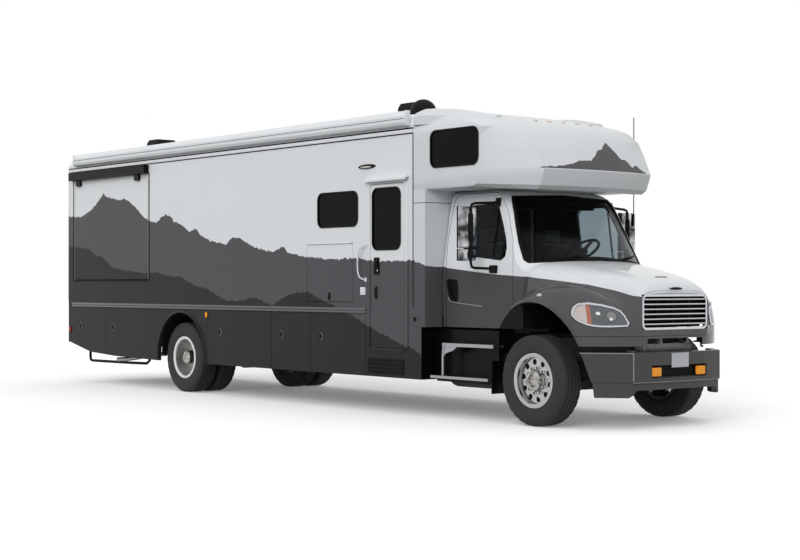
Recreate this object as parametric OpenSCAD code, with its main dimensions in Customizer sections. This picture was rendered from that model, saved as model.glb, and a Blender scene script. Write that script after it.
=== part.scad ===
// Motorhome on a conventional truck chassis: coach body with an overhanging front cap,
// slide-out rooms, compartment doors and a bonneted cab. X forward, Y to the left, Z up.
// The origin is on the ground under the middle of the vehicle.

/* [Vehicle] */
// Distance from the front axle to the rear axle
wheelbase = 7300; // [7200:10:7400]
// Distance of the front axle ahead of the vehicle's middle
front_axle_x = 4850; // [4800:10:4900]
// Overall length over the front bumper and the hitch receiver
overall_l = 11960; // [11950:10:11970]
// Overall width of the coach body
coach_w = 2566; // [2540:2:2600]
// Outer radius of every tyre
tyre_r = 508; // [500:1:515]
// Width of every tyre
tyre_w = 280; // [260:5:290]

/* [Coach body] */
// Thickness of the coach's walls
wall_t = 50; // [40:5:60]
// Height of the floor's upper face
floor_z = 1220; // [1200:10:1240]
// Height of the walls' upper edge
wall_top = 3450; // [3430:10:3470]
// Height of the skirts' lower edge
skirt_z = 440; // [420:10:460]
// Joint between the coach body and the front cap
cap_seam_x = 2918; // [2900:1:2930]

/* [Openings] */
// Gap round every door, hatch and slide-out room
gap = 8; // [6:1:10]

/* [Hidden] */
$fn = 48;

half_w = coach_w / 2;
rear_x = -overall_l / 2 + 35;
nose_x = overall_l / 2;
rear_axle_x = front_axle_x - wheelbase;
glass_t = 8;

// Frame and axles
rail_in = 350;
rail_out = 430;
rail_z0 = 700;
rail_z1 = 960;
kingpin_y = 930;
hitch_z = 560;
receiver_out = 64;
receiver_in = 51;
pin_r = 8;
front_track_y = 1030;
dual_outer_y = 1080;
dual_inner_y = 745;
bead_r = 286;

// Openings of the coach's side, each [x0, x1, z0, z1]
slide_box = [-5750, -3360, 1650, 3243];
entry_box = [2090, 2740, 800, 2800];
entry_glass = [2125, 2681, 1998, 2757];
side_window = [979, 1832, 2303, 2744];
left_window = [-2600, -1400, 2200, 2860];
hatch_box = [740, 1720, 1356, 2086];
cap_window = [3240, 4090, 2947, 3383];
window_r = 95;

// Compartments: the skirts' seams along X, and the doors' top and bottom
bay_top = 1205;
arch_x0 = -3110;
arch_x1 = -1690;
arch_r = 640;
arch_z = 520;
seams_right = [[-5890, -4680], [-4680, arch_x0], [arch_x1, -88], [-88, 806], [806, 1990]];
seams_left = [[-5890, arch_x0], [arch_x1, 150], [150, 1990]];
well_y = -700;
tail_z = 640;
tail_x = -5200;
door_t = 40;
hinge_out = 6;

// Hood
hood_t = 30;
hood_bottom = 905;
hood_pivot = [5900, 885];
lamp_t = 90;
arch_front_x = 4820;
arch_front_z = 690;
arch_front_r = 690;

// Cab
cab_back = 3180;
cab_bottom = 1070;
cab_roof_z = 2690;
return_x = 3139;

/* ---------- helpers ---------- */

module both_sides() {
    children();
    mirror([0, 1, 0]) children();
}

// A rectangle [x0, x1, z0, z1] grown by d, with corners of radius r made of true arcs
module panel_outline(b, r = 0, d = 0) {
    x0 = b[0] - d;
    x1 = b[1] + d;
    z0 = b[2] - d;
    z1 = b[3] + d;
    if (r <= 0) translate([x0, z0]) square([x1 - x0, z1 - z0]);
    else union() {
        translate([x0 + r, z0]) square([x1 - x0 - 2 * r, z1 - z0]);
        translate([x0, z0 + r]) square([x1 - x0, z1 - z0 - 2 * r]);
        for (x = [x0 + r, x1 - r], z = [z0 + r, z1 - r]) translate([x, z]) circle(r);
    }
}

// Stands an X-Z outline up as a plate whose lowest Y is y0
module plate(y0, t) {
    translate([0, y0 + t, 0]) rotate([90, 0, 0]) linear_extrude(t) children();
}

// A right-hand plate lying just inside the coach's side
module right_plate(t = wall_t, out = 0) {
    plate(-half_w - out, t) children();
}

// One mesh made of everything inside it
module meshed() {
    resize([0, 0, 0]) children();
}

module box3(p0, p1) {
    translate(p0) cube(p1 - p0);
}

// Solid skinned over rings of the same number of points; seen from the last ring, each ring runs clockwise
module skin(rings) {
    n = len(rings[0]);
    m = len(rings);
    pts = [for (r = rings) for (p = r) p];
    sides = [for (i = [0 : m - 2]) for (j = [0 : n - 1])
        let (a = i * n + j, b = i * n + (j + 1) % n) each [[a, b, a + n], [b, b + n, a + n]]];
    ends = [[for (j = [n - 1 : -1 : 0]) j], [for (j = [0 : n - 1]) (m - 1) * n + j]];
    polyhedron(points = pts, faces = concat(sides, ends), convexity = 6);
}

/* ---------- chassis ---------- */

module chassis_frame() color("#26282b") {
    // rails and cross members, bolted up from separate lengths
    both_sides() box3([rear_x + 202, rail_in, rail_z0], [5650, rail_out, rail_z1]);
    for (x = [-5600, -4300, -3200, -1700, -300, 1100, 2500, 3700])
        box3([x, -rail_in + 1, rail_z0 + 40], [x + 90, rail_in - 1, rail_z1 - 40]);
    box3([5560, -rail_in + 1, rail_z0 + 20], [5650, rail_in - 1, rail_z0 + 120]);
    // outriggers that carry the floor
    both_sides() for (x = [-5300, -3500, -1300, 300, 1900])
        box3([x, rail_out + 1, rail_z1 - 60], [x + 70, half_w - wall_t - 5, 1150]);
    for (x = [-5300, -3500, -1300, 300, 1900])
        box3([x, -rail_out, rail_z1 + 1], [x + 70, rail_out, 1150]);
    // drop plates and cross tubes beside the hitch receiver
    both_sides() box3([rear_x + 60, rail_in, hitch_z - 40], [rear_x + 201, rail_out, rail_z1]);
    both_sides()
        box3([rear_x + 70, receiver_out / 2 + 1, hitch_z - 40], [rear_x + 150, rail_in - 1, hitch_z + 40]);
}

// Square receiver welded from four plates, with a closing plate and two gussets against the cross tubes
module hitch_receiver() color("#1c1d1f") {
    x0 = -overall_l / 2;
    x1 = rear_x + 290;
    a = receiver_in / 2;
    b = receiver_out / 2;
    for (z = [hitch_z - b, hitch_z + a]) box3([x0, -b, z], [x1, b, z + b - a]);
    both_sides() difference() {
        box3([x0, a, hitch_z - a + 0.2], [x1, b, hitch_z + a - 0.2]);
        translate([x0 + 45, a - 1, hitch_z]) rotate([-90, 0, 0]) cylinder(r = pin_r, h = b - a + 2);
    }
    box3([x1 + 0.5, -b, hitch_z - b], [x1 + 10, b, hitch_z + b]);
    both_sides() box3([rear_x + 151, b + 0.5, hitch_z - 40], [rear_x + 160, 100, hitch_z + 40]);
}

module front_axle() color("#202224") {
    translate([front_axle_x, 0, 0]) {
        box3([-50, -kingpin_y + 60, 380], [50, kingpin_y - 60, 480]);
        both_sides() translate([0, kingpin_y, 400]) cylinder(r = 45, h = 250);
        both_sides() box3([-50, kingpin_y - 70, 400], [50, kingpin_y - 30, 480]);
    }
}

module rear_axle() color("#202224") {
    translate([rear_axle_x, 0, tyre_r]) rotate([90, 0, 0]) {
        translate([0, 0, -560]) cylinder(r = 75, h = 1120);
        translate([0, 0, -170]) cylinder(r = 190, h = 340);
        for (s = [-1, 1]) translate([0, 0, s * 610 - 60]) cylinder(r = 55, h = 120);
    }
}

module leaf_springs() color("#26282b") {
    both_sides() {
        box3([4150, 360, 482], [5550, 420, 560]);
        for (x = [4150, 5490]) box3([x, 365, 559], [x + 60, 415, rail_z0 - 1]);
        box3([rear_axle_x - 800, 360, 585], [rear_axle_x + 800, 420, 655]);
        for (x = [rear_axle_x - 800, rear_axle_x + 740]) box3([x, 365, 654], [x + 60, 415, rail_z0 - 1]);
    }
}

module drive_shaft() color("#3a3c3f") {
    translate([rear_axle_x + 195, 0, tyre_r + 20])
        rotate([0, 88.6, 0]) cylinder(r = 50, h = 6050);
}

module engine_block() color("#3b3e41") {
    box3([4830, -330, 560], [5440, 330, 1420]);
    box3([3805, -220, 560], [4831, 220, 1010]);
    // radiator
    box3([5530, -345, 830], [5620, 345, 1400]);
}

module fuel_tank() color("#18191b") {
    both_sides() translate([3170, 750, 560]) rotate([0, 90, 0]) cylinder(r = 215, h = 900);
    both_sides() for (x = [3300, 3900]) box3([x, rail_out + 2, 640], [x + 50, 760, 740]);
}

/* ---------- wheels ---------- */

module tyre(w = tyre_w) rotate([90, 0, 0])
    rotate_extrude($fn = 96) polygon([
        [bead_r + 1, -w / 2 + 37], [bead_r + 20, -w / 2 + 29], [bead_r + 33, -w / 2 + 13],
        [bead_r + 90, -w / 2],
        [bead_r + 150, -w / 2 + 6], [tyre_r - 22, -w / 2 + 18], [tyre_r, -w / 2 + 42],
        [tyre_r, w / 2 - 42], [tyre_r - 22, w / 2 - 18], [bead_r + 150, w / 2 - 6],
        [bead_r + 90, w / 2], [bead_r + 33, w / 2 - 13], [bead_r + 20, w / 2 - 29],
        [bead_r + 1, w / 2 - 37]]);

// Rim with its disc; the disc stands dish from the rim's middle, towards +Y
module rim(dish) rotate([-90, 0, 0]) difference() {
    union() {
        rotate_extrude($fn = 96) polygon([
            [bead_r - 22, -118], [bead_r + 18, -128], [bead_r + 18, -112], [bead_r - 1, -104],
            [bead_r - 1, 104], [bead_r + 18, 112], [bead_r + 18, 128], [bead_r - 22, 118]]);
        translate([0, 0, dish - 10]) cylinder(r = bead_r - 15, h = 20);
    }
    for (a = [10 : 36 : 334]) rotate(a) translate([206, 0, dish - 20]) cylinder(r = 32, h = 40);
}

module front_tyre(side) translate([front_axle_x, side * front_track_y, tyre_r])
    color("#1b1c1e") tyre();

module front_wheel(side) translate([front_axle_x, side * front_track_y, tyre_r])
    color("#c9ccd0") scale([1, side, 1]) union() {
        rim(60);
        rotate([-90, 0, 0]) translate([0, 0, 50]) cylinder(r = 110, h = 75);
        rotate([-90, 0, 0]) translate([0, 0, -14]) cylinder(r = 130, h = 70);
    }

module rear_tyres(side) color("#1b1c1e") for (y = [dual_inner_y, dual_outer_y])
    translate([rear_axle_x, side * y, tyre_r]) tyre();

module rear_wheels(side) color("#c9ccd0") translate([rear_axle_x, 0, tyre_r]) scale([1, side, 1]) {
    translate([0, dual_outer_y, 0]) rim(-100);
    translate([0, dual_inner_y, 0]) mirror([0, 1, 0]) rim(-100);
    translate([0, dual_inner_y + 90, 0]) rotate([-90, 0, 0]) cylinder(r = 150, h = 155);
    translate([0, dual_outer_y - 100, 0]) rotate([-90, 0, 0]) cylinder(r = 95, h = 190);
    translate([0, 675, 0]) rotate([-90, 0, 0]) difference() {
        cylinder(r = 150, h = 165);
        translate([0, 0, -1]) cylinder(r = 60, h = 60);
    }
}

module steering_knuckle(side) color("#26282b") translate([front_axle_x, 0, 0]) scale([1, side, 1]) {
    for (z = [345, 655]) translate([0, kingpin_y, z]) cylinder(r = 55, h = 50);
    box3([-45, kingpin_y + 52, 345], [45, kingpin_y + 68, 705]);
    translate([0, kingpin_y + 60, tyre_r]) rotate([-90, 0, 0]) cylinder(r = 40, h = 18);
    box3([-45, kingpin_y - 10, 345], [45, kingpin_y + 60, 394]);
    box3([-45, kingpin_y - 10, 656], [45, kingpin_y + 60, 705]);
}

/* ---------- coach body ---------- */

module coach_floor() color("#8a8d90") difference() {
    box3([rear_x + wall_t + 1, -half_w + wall_t + 1, 1151], [cap_seam_x - 1, half_w - wall_t - 1, floor_z]);
    // stairwell inside the entry door
    box3([entry_box[0] - 25, -half_w, 1140], [entry_box[1] + 25, well_y, floor_z + 1]);
}

// Steps inside the entry door
module entry_steps() color("#55504b") {
    box3([entry_box[0] - 24, -half_w + wall_t + 2, 760], [entry_box[1] + 24, well_y - 1, 790]);
    box3([entry_box[0] - 24, -950, 789], [entry_box[1] + 24, well_y - 1, 1005]);
    for (x = [entry_box[0] - 24, entry_box[1] + 14])
        box3([x, -half_w + wall_t + 2, 789], [x + 10, well_y - 1, 1150]);
    box3([entry_box[0] - 24, well_y - 11, 1004], [entry_box[1] + 24, well_y - 1, 1150]);
}

module wall_outline() {
    panel_outline([rear_x, cap_seam_x, floor_z - 10, wall_top]);
    panel_outline([1995, cap_seam_x, skirt_z, floor_z]);
}

module side_wall_right() color("#d6d9da") right_plate() difference() {
    wall_outline();
    panel_outline(slide_box, 0, gap);
    panel_outline(side_window, window_r);
    panel_outline(hatch_box, 0, gap);
    panel_outline(entry_box, 30, gap);
}

module side_wall_left() color("#d6d9da") mirror([0, 1, 0]) right_plate() difference() {
    wall_outline();
    panel_outline(slide_box, 0, gap);
    panel_outline(side_window, window_r);
    panel_outline(left_window, window_r);
}

module rear_wall() color("#d6d9da") {
    box3([rear_x, -half_w + wall_t + 1, tail_z], [rear_x + wall_t, half_w - wall_t - 1, wall_top]);
    both_sides() box3([rear_x, half_w - wall_t, tail_z], [rear_x + wall_t - 1, half_w, floor_z - 11]);
    // gable that closes the roof's end
    translate([rear_x, 0, 0]) rotate([90, 0, 90]) linear_extrude(wall_t)
        polygon([[-half_w + 83, wall_top + 1], [half_w - 83, wall_top + 1], [half_w - 202, wall_top + 88],
            [0, wall_top + 138], [-half_w + 202, wall_top + 88]]);
}

module roof() color("#e2e4e5") {
    // crowned roof on the walls' upper edge
    translate([rear_x, 0, 0]) rotate([90, 0, 90]) linear_extrude(cap_seam_x - rear_x)
        polygon([[-half_w, wall_top + 1], [-half_w, wall_top + 40], [-half_w + 60, wall_top + 130],
            [-half_w + 160, wall_top + 185], [0, wall_top + 240], [half_w - 160, wall_top + 185],
            [half_w - 60, wall_top + 130], [half_w, wall_top + 40], [half_w, wall_top + 1],
            [half_w - 80, wall_top + 1], [half_w - 200, wall_top + 90], [0, wall_top + 140],
            [-half_w + 200, wall_top + 90], [-half_w + 80, wall_top + 1]]);
}

// Plan of the front cap at one height:
// [side z, front z, middle x, crease x, crease y, corner x, corner y, flank x, flank y]
cap_levels = [
    [2700, 2650, 4690, 4615, 868, 4260, 1115, 3960, 1262],
    [2725, 2695, 4760, 4680, 878, 4330, 1138, 4040, 1277],
    [2800, 2800, 4815, 4722, 878, 4372, 1143, 4100, 1283],
    [2876, 2876, 4840, 4747, 877, 4380, 1146, 4105, 1283],
    [2900, 2900, 4825, 4733, 879, 4372, 1147, 4100, 1283],
    [3100, 3100, 4725, 4624, 902, 4312, 1150, 4100, 1283],
    [3273, 3273, 4615, 4512, 918, 4230, 1150, 4099, 1283],
    [3383, 3383, 4470, 4375, 905, 4165, 1150, 4098, 1283],
    [3440, 3440, 4345, 4240, 903, 4060, 1130, 3930, 1262],
    [3513, 3513, 4060, 3960, 890, 3800, 1090, 3640, 1215],
    [3600, 3600, 3620, 3530, 860, 3420, 1000, 3300, 1140],
    [3660, 3660, 3230, 3180, 830, 3130, 950, 3050, 1060],
    [3689, 3689, 3000, 2990, 780, 2980, 880, 2970, 960]];

// Ring of the cap's plan, inset by d and with its height squeezed by d at both ends
function cap_ring(l, d) =
    let (z0 = cap_levels[0][0],
        z1 = cap_levels[len(cap_levels) - 1][0],
        k = (z1 - z0 - 2 * d) / (z1 - z0),
        zs = z0 + d + (l[0] - z0) * k,
        zf = z0 + d + (l[1] - z0) * k,
        half = [[l[2] - d, 0, zf], [l[2] * 0.75 + l[3] * 0.25 - d, l[4] * 0.5, zf],
            [l[3] - d, l[4] - d * 0.6, zf], [l[5] - d, l[6] - d * 0.8, (zs + zf) / 2],
            [l[7] - d, l[8] - d, zs], [cap_seam_x + 1 - (d > 0 ? 20 : 0), l[8] - d, zs]])
    [for (p = half) [p[0], -p[1], p[2]], for (i = [len(half) - 1 : -1 : 1]) half[i]];

// The levels, with smooth ones between those of the shoulder and the top
cap_shoulder = 7;
cap_curve = concat([for (i = [0 : cap_shoulder - 1]) cap_levels[i]],
    smooth([for (i = [cap_shoulder : len(cap_levels) - 1]) cap_levels[i]], 3));

module cap_loft(d = 0) skin([for (l = cap_curve) cap_ring(l, d)]);

// Stations of the raised edge on the cap's roof: [x, outer y, inner y, bottom z, top z]
edge_stations = [
    [cap_seam_x + 1, 1283, 1020, 3480, 3640], [3020, 1275, 1000, 3480, 3672], [3200, 1240, 960, 3470, 3668],
    [3450, 1160, 910, 3460, 3642], [3700, 1045, 850, 3450, 3594], [3950, 905, 790, 3440, 3545]];

function edge_ring(e) = let (h = e[4] - e[3], w = e[1] - e[2]) [
    [e[0], e[1], e[3]], [e[0], e[1], e[3] + 0.55 * h], [e[0], e[1] - 0.15 * w, e[3] + 0.88 * h],
    [e[0], e[1] - 0.4 * w, e[4]], [e[0], e[2], e[4]], [e[0], e[2], e[3]]];

module front_cap() color("#d6d9da") meshed() union() {
    difference() {
        union() {
            cap_loft();
            both_sides() mirror([0, 1, 0])
                skin([for (e = edge_stations) [for (p = edge_ring(e)) [p[0], -p[1], p[2]]]]);
        }
        cap_loft(wall_t);
        // clear of the cab's roof
        cab_loft(-10);
        // the cap's rear is open to the coach
        box3([cap_seam_x - 10, -half_w + wall_t + 40, 2760], [cap_seam_x + 60, half_w - wall_t - 40, 3560]);
        both_sides() right_plate(wall_t + 100, 20) panel_outline(cap_window, window_r);
    }
    // side panels under the cap, turned in to the cab
    both_sides() translate([0, 0, 1068]) linear_extrude(1640)
        polygon([[cap_seam_x + 1, half_w], [return_x, half_w], [return_x + 24, 1075], [return_x + 24, 1035],
            [return_x - 20, 1035], [return_x - 45, half_w - wall_t], [cap_seam_x + 1, half_w - wall_t]]);
    // bulkhead round the way through to the cab
    difference() {
        box3([return_x - 10, -1040, 1222], [return_x + 23, 1040, 2708]);
        box3([return_x - 20, -450, 1300], [return_x + 40, 450, 2500]);
    }
}

module coach_windows() color("#101214") {
    right_plate(glass_t, -4) panel_outline(side_window, window_r, -1);
    mirror([0, 1, 0]) right_plate(glass_t, -4) {
        panel_outline(side_window, window_r, -1);
        panel_outline(left_window, window_r, -1);
    }
    both_sides() right_plate(glass_t, -4) panel_outline(cap_window, window_r, -1);
}

// Outline of the skirt below the belt, with the tail's slanted lower edge
module skirt_outline() difference() {
    polygon([[rear_x + wall_t + 2, tail_z], [tail_x, 500], [-4400, skirt_z + 20], [-3000, skirt_z],
        [1990, skirt_z], [1990, bay_top], [rear_x + wall_t + 2, bay_top]]);
    translate([rear_axle_x + 40, arch_z]) circle(arch_r);
    panel_outline([rear_axle_x + 40 - arch_r, rear_axle_x + 40 + arch_r, 300, arch_z]);
}

module lower_skirts() color("#3a3b3e") {
    both_sides() right_plate(door_t) intersection() {
        skirt_outline();
        union() {
            panel_outline([arch_x0, arch_x1, 0, bay_top]);
            panel_outline([rear_x, -5890, 0, bay_top]);
        }
    }
    // step boxes below the cab, and the flaps ahead of them
    both_sides() box3([cap_seam_x + 1, -half_w, skirt_z], [3071, -half_w + 300, 1066]);
    both_sides() box3([3072, -1040, 420], [4170, -1000, 1040]);
    both_sides() box3([4171, -1160, 325], [4185, -860, 700]);
}

// Storage bay hung below the coach's floor: a floor, a back and two end panels
module bay(x0, x1, z0) {
    box3([x0, -half_w + door_t + 8, z0], [x1, -rail_out - 120, z0 + 20]);
    box3([x0, -rail_out - 140, z0 + 21], [x1, -rail_out - 120, rail_z1 - 61]);
    for (x = [x0, x1 - 20])
        box3([x, -half_w + door_t + 8, z0 + 21], [x + 20, -rail_out - 141, rail_z1 - 61]);
}

module storage_bays() color("#46484b") both_sides() {
    bay(arch_x1 + 15, 1975, 470);
    bay(-5870, arch_x0 - 15, 660);
}

// Barrel of a hinge along X or, standing, along Z; its axis lies off the coach's side by hinge_out
module hinge_barrel(p, length, upright = false)
    translate([p[0], -half_w - hinge_out, p[1]]) rotate([0, upright ? 0 : 90, 0])
        cylinder(r = 5, h = length);

module baggage_door(span) color("#3a3b3e") {
    right_plate(door_t) intersection() {
        skirt_outline();
        panel_outline([span[0] + gap / 2, span[1] - gap / 2, 0, bay_top]);
    }
    hinge_barrel([span[0] + 20, bay_top + hinge_out], span[1] - span[0] - 40);
}

// Tapered lid of a roof fan, its middle at x on the roof's crown
module fan_lid(x, top) translate([x, 0, 0]) meshed() hull() {
    box3([-190, -190, wall_top + 241], [190, 190, wall_top + 300]);
    box3([-175, -185, top - 90], [165, 185, top - 60]);
    box3([-150, -160, top - 1], [120, 160, top]);
}

module roof_units() color("#1c1e20") {
    fan_lid(-5150, 3945);
    fan_lid(1440, 3960);
    // domed vent square to the roof's slope
    translate([1930, -300, wall_top + 227]) rotate([2.8, 0, 0]) {
        cylinder(r = 175, h = 100);
        translate([0, 0, 99]) difference() {
            sphere(r = 175);
            translate([0, 0, -300]) cube([600, 600, 600], center = true);
        }
    }
}

module patio_awning() color("#e4e6e7")
    translate([-5650, 0, 0]) rotate([90, 0, 90]) linear_extrude(8500)
        polygon([[-half_w - 1, wall_top + 15], [-half_w - 60, wall_top + 38], [-half_w - 78, wall_top + 70],
            [-half_w - 78, wall_top + 145], [-half_w - 45, wall_top + 205], [-half_w - 1, wall_top + 215]]);

/* ---------- slide-out rooms ---------- */

module slideout() {
    b = slide_box;
    deep = 830;
    color("#d6d9da") difference() {
        box3([b[0], -half_w, b[2]], [b[1], -half_w + deep, b[3]]);
        box3([b[0] + 30, -half_w + wall_t, b[2] + 30], [b[1] - 30, -half_w + deep + 1, b[3] - 30]);
    }
    // topper roller housing and its two brackets
    color("#121314") box3([-5780, -half_w - 92, b[3] + 2], [-3350, -half_w - 6, 3370]);
    color("#121314") for (x = [-5620, -3740])
        box3([x, -half_w - 40, b[3] - 90], [x + 140, -half_w + 1, b[3] + 3]);
}

/* ---------- entry door and hatch ---------- */

module entry_door() color("#d6d9da") {
    right_plate(45) difference() {
        panel_outline(entry_box, 25);
        panel_outline(entry_glass, window_r);
    }
    hinge_barrel([entry_box[1] + gap, entry_box[2] + 40], 1920, true);
}

module entry_door_window() color("#101214")
    right_plate(glass_t, -4) panel_outline(entry_glass, window_r, -1);

module entertainment_hatch() color("#8d8f92") {
    right_plate(door_t) panel_outline(hatch_box, 10);
    hinge_barrel([hatch_box[0] + 20, hatch_box[3] + gap], hatch_box[1] - hatch_box[0] - 40);
}

/* ---------- cab ---------- */

// Plan of the cab at one height: [z, side's front x, side y, pillar x, pillar y, middle x]
cab_levels = [
    [1070, 4555, 1028, 4590, 950, 4785],
    [1500, 4560, 1032, 4595, 950, 4785],
    [1730, 4555, 1028, 4590, 955, 4785],
    [1790, 4480, 1024, 4540, 965, 4770],
    [1837, 4425, 1018, 4485, 972, 4750],
    [2050, 4335, 986, 4375, 948, 4600],
    [2243, 4240, 953, 4290, 912, 4460],
    [2400, 4170, 928, 4225, 882, 4345],
    [2537, 4098, 905, 4160, 850, 4250],
    [2600, 4050, 892, 4110, 825, 4200],
    [2650, 3980, 860, 4040, 780, 4150],
    [2690, 3880, 780, 3930, 680, 4050]];
// How far round the windshield a point is, and how far that takes it back to the pillar
shield_shares = [[0, 0], [0.35, 0.09], [0.65, 0.33], [0.88, 0.7], [1, 1]];

function cab_ring(l, d) = let (
    half = concat([for (s = shield_shares)
            [l[5] + (l[3] - l[5]) * s[1] - d, (l[4] - d * 0.5) * s[0]]],
        [[l[1] - d, l[2] - d], [cab_back + d, l[2] - d]]),
    z0 = cab_bottom, z1 = cab_roof_z, z = z0 + d + (l[0] - z0) * (z1 - z0 - 2 * d) / (z1 - z0))
    [for (p = half) [p[0], -p[1], z], for (i = [len(half) - 1 : -1 : 1]) [half[i][0], half[i][1], z]];

module cab_loft(d = 0) skin([for (l = cab_levels) cab_ring(l, d)]);

// Outline of a cab door, seen from the side
door_outline = [[3240, 1062], [3232, 1120], [3232, 1700], [3205, 2120], [3232, 2500], [3262, 2600],
    [3310, 2640], [3960, 2640], [4020, 2610], [4098, 2537], [4187, 2399], [4250, 2243], [4334, 2061],
    [4372, 1880],
    [4385, 1700], [4385, 1377], [4375, 1311], [4330, 1262], [4240, 1180], [4150, 1062]];

module cab_door_outline(d = 0) offset(delta = d) polygon(door_outline);

// Opening of a cab door's window
glass_outline = [[3500, 1935], [3505, 2440], [3580, 2505], [3921, 2512], [4000, 2505], [4045, 2465],
    [4150, 2260], [4225, 2097], [4252, 1990], [4240, 1890], [4168, 1846], [3560, 1908]];

module windshield_outline(d = 0) offset(delta = d)
    polygon([[-930, 1812], [-500, 1834], [0, 1843], [500, 1834], [930, 1812], [958, 1850], [940, 2035],
        [901, 2243], [838, 2537], [795, 2602], [0, 2632], [-795, 2602], [-838, 2537], [-901, 2243],
        [-940, 2035], [-958, 1850]]);

module cab_shell() color("#d6d9da") meshed() difference() {
    cab_loft();
    cab_loft(45);
    // door openings on both sides
    both_sides() plate(-1300, 560) cab_door_outline(gap);
    // windshield opening
    translate([3960, 0, 0]) rotate([90, 0, 90]) linear_extrude(1000) windshield_outline();
    // way through to the coach
    box3([cab_back - 20, -450, 1300], [cab_back + 80, 450, 2500]);
}

module windshield() color("#1a2226") meshed() intersection() {
    difference() {
        cab_loft(12);
        cab_loft(22);
    }
    translate([3960, 0, 0]) rotate([90, 0, 90]) linear_extrude(1000) windshield_outline(-2);
}

module cab_door() color("#d6d9da") meshed() difference() {
    intersection() {
        difference() {
            cab_loft();
            cab_loft(44);
            translate([-80, 0, 0]) cab_loft(44);
        }
        plate(-1300, 560) cab_door_outline();
    }
    plate(-1300, 560) polygon(glass_outline);
    // no thicker at the sill and under the roof
    box3([cab_back, -984, 1000], [4500, -700, 1120]);
    box3([cab_back, -822, 2560], [4500, -700, 2700]);
}

module cab_door_glass() color("#1a2226") meshed() intersection() {
    difference() {
        cab_loft(16);
        cab_loft(24);
    }
    plate(-1300, 560) offset(delta = -2) polygon(glass_outline);
}

module door_mirror() color("#1c1e20") {
    // main head and the round-view head below it
    box3([3900, -1455, 1988], [3965, -1205, 2468]);
    box3([3905, -1450, 1842], [3965, -1210, 1978]);
    // frame: an upright held by two arms from brackets on the door
    box3([3964, -1318, 1750], [3990, -1290, 2512]);
    box3([3964, -1291, 2484], [3990, -925, 2512]);
    box3([3964, -1291, 1750], [3990, -1060, 1778]);
    box3([3964, -1061, 1700], [4110, -1029, 1795]);
    box3([3964, -960, 2470], [4060, -921, 2560]);
}

module cab_seats() color("#55504b") both_sides() {
    box3([3500, 270, 1400], [4000, 770, 1540]);
    box3([3380, 270, 1541], [3500, 770, 2180]);
    box3([3560, 400, 1118], [3900, 650, 1399]);
}

module dashboard() color("#1c1f20") {
    box3([4200, -880, 1380], [4500, 880, 1770]);
    box3([4160, 280, 1769], [4400, 720, 1880]);
    translate([3990, 500, 1985]) rotate([0, -35, 0]) {
        translate([0, 0, -300]) cylinder(r = 25, h = 300);
        translate([0, 0, -12]) difference() {
            cylinder(r = 225, h = 25);
            translate([0, 0, -1]) cylinder(r = 198, h = 27);
        }
        translate([-200, -20, -9]) cube([400, 40, 18]);
    }
}

module cab_steps() color("#b9bcc0") both_sides() {
    box3([3360, -1200, 848], [4250, -1041, 882]);
    box3([3175, -1230, 470], [4168, -1041, 498]);
    box3([3360, -1200, 497], [3376, -1170, 849]);
}

/* ---------- bumper and hood ---------- */

// Plan of the bumper's outer face, left half, from its middle outwards
bumper_plan = [[nose_x, 0], [nose_x - 10, 400], [nose_x - 45, 705], [nose_x - 478, 1078]];

module bumper_band(z0, z1, t, set_back) translate([0, 0, z0]) linear_extrude(z1 - z0)
    polygon(concat([for (p = bumper_plan) [p[0] - set_back, p[1]]],
        [for (i = [3 : -1 : 0])
            [bumper_plan[i][0] - set_back - t, bumper_plan[i][1] - t * [0, 0.2, 0.5, 0.7][i]]],
        [for (i = [1 : 3])
            [bumper_plan[i][0] - set_back - t, -bumper_plan[i][1] + t * [0, 0.2, 0.5, 0.7][i]]],
        [for (i = [3 : -1 : 1]) [bumper_plan[i][0] - set_back, -bumper_plan[i][1]]]));

module front_bumper() color("#5b5b5d") {
    difference() {
        union() {
            bumper_band(520, 838, 70, 0);
            bumper_band(352, 521, 60, 20);
        }
        // slanted ends
        plate(-1300, 2600) polygon([[5300, 900], [nose_x - 476, 900], [nose_x - 476, 838], [5590, 520],
            [5605, 352], [5605, 300], [5300, 300]]);
        // raised middle of the lower edge
        translate([5700, 0, 0]) rotate([90, 0, 90]) linear_extrude(400)
            polygon([[-745, 340], [-640, 432], [640, 432], [745, 340]]);
        // recess for the fog lamps
        box3([5912, -450, 560], [nose_x + 10, 450, 696]);
    }
    both_sides() box3([5651, 350, 640], [5912, 430, 760]);
}

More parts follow.
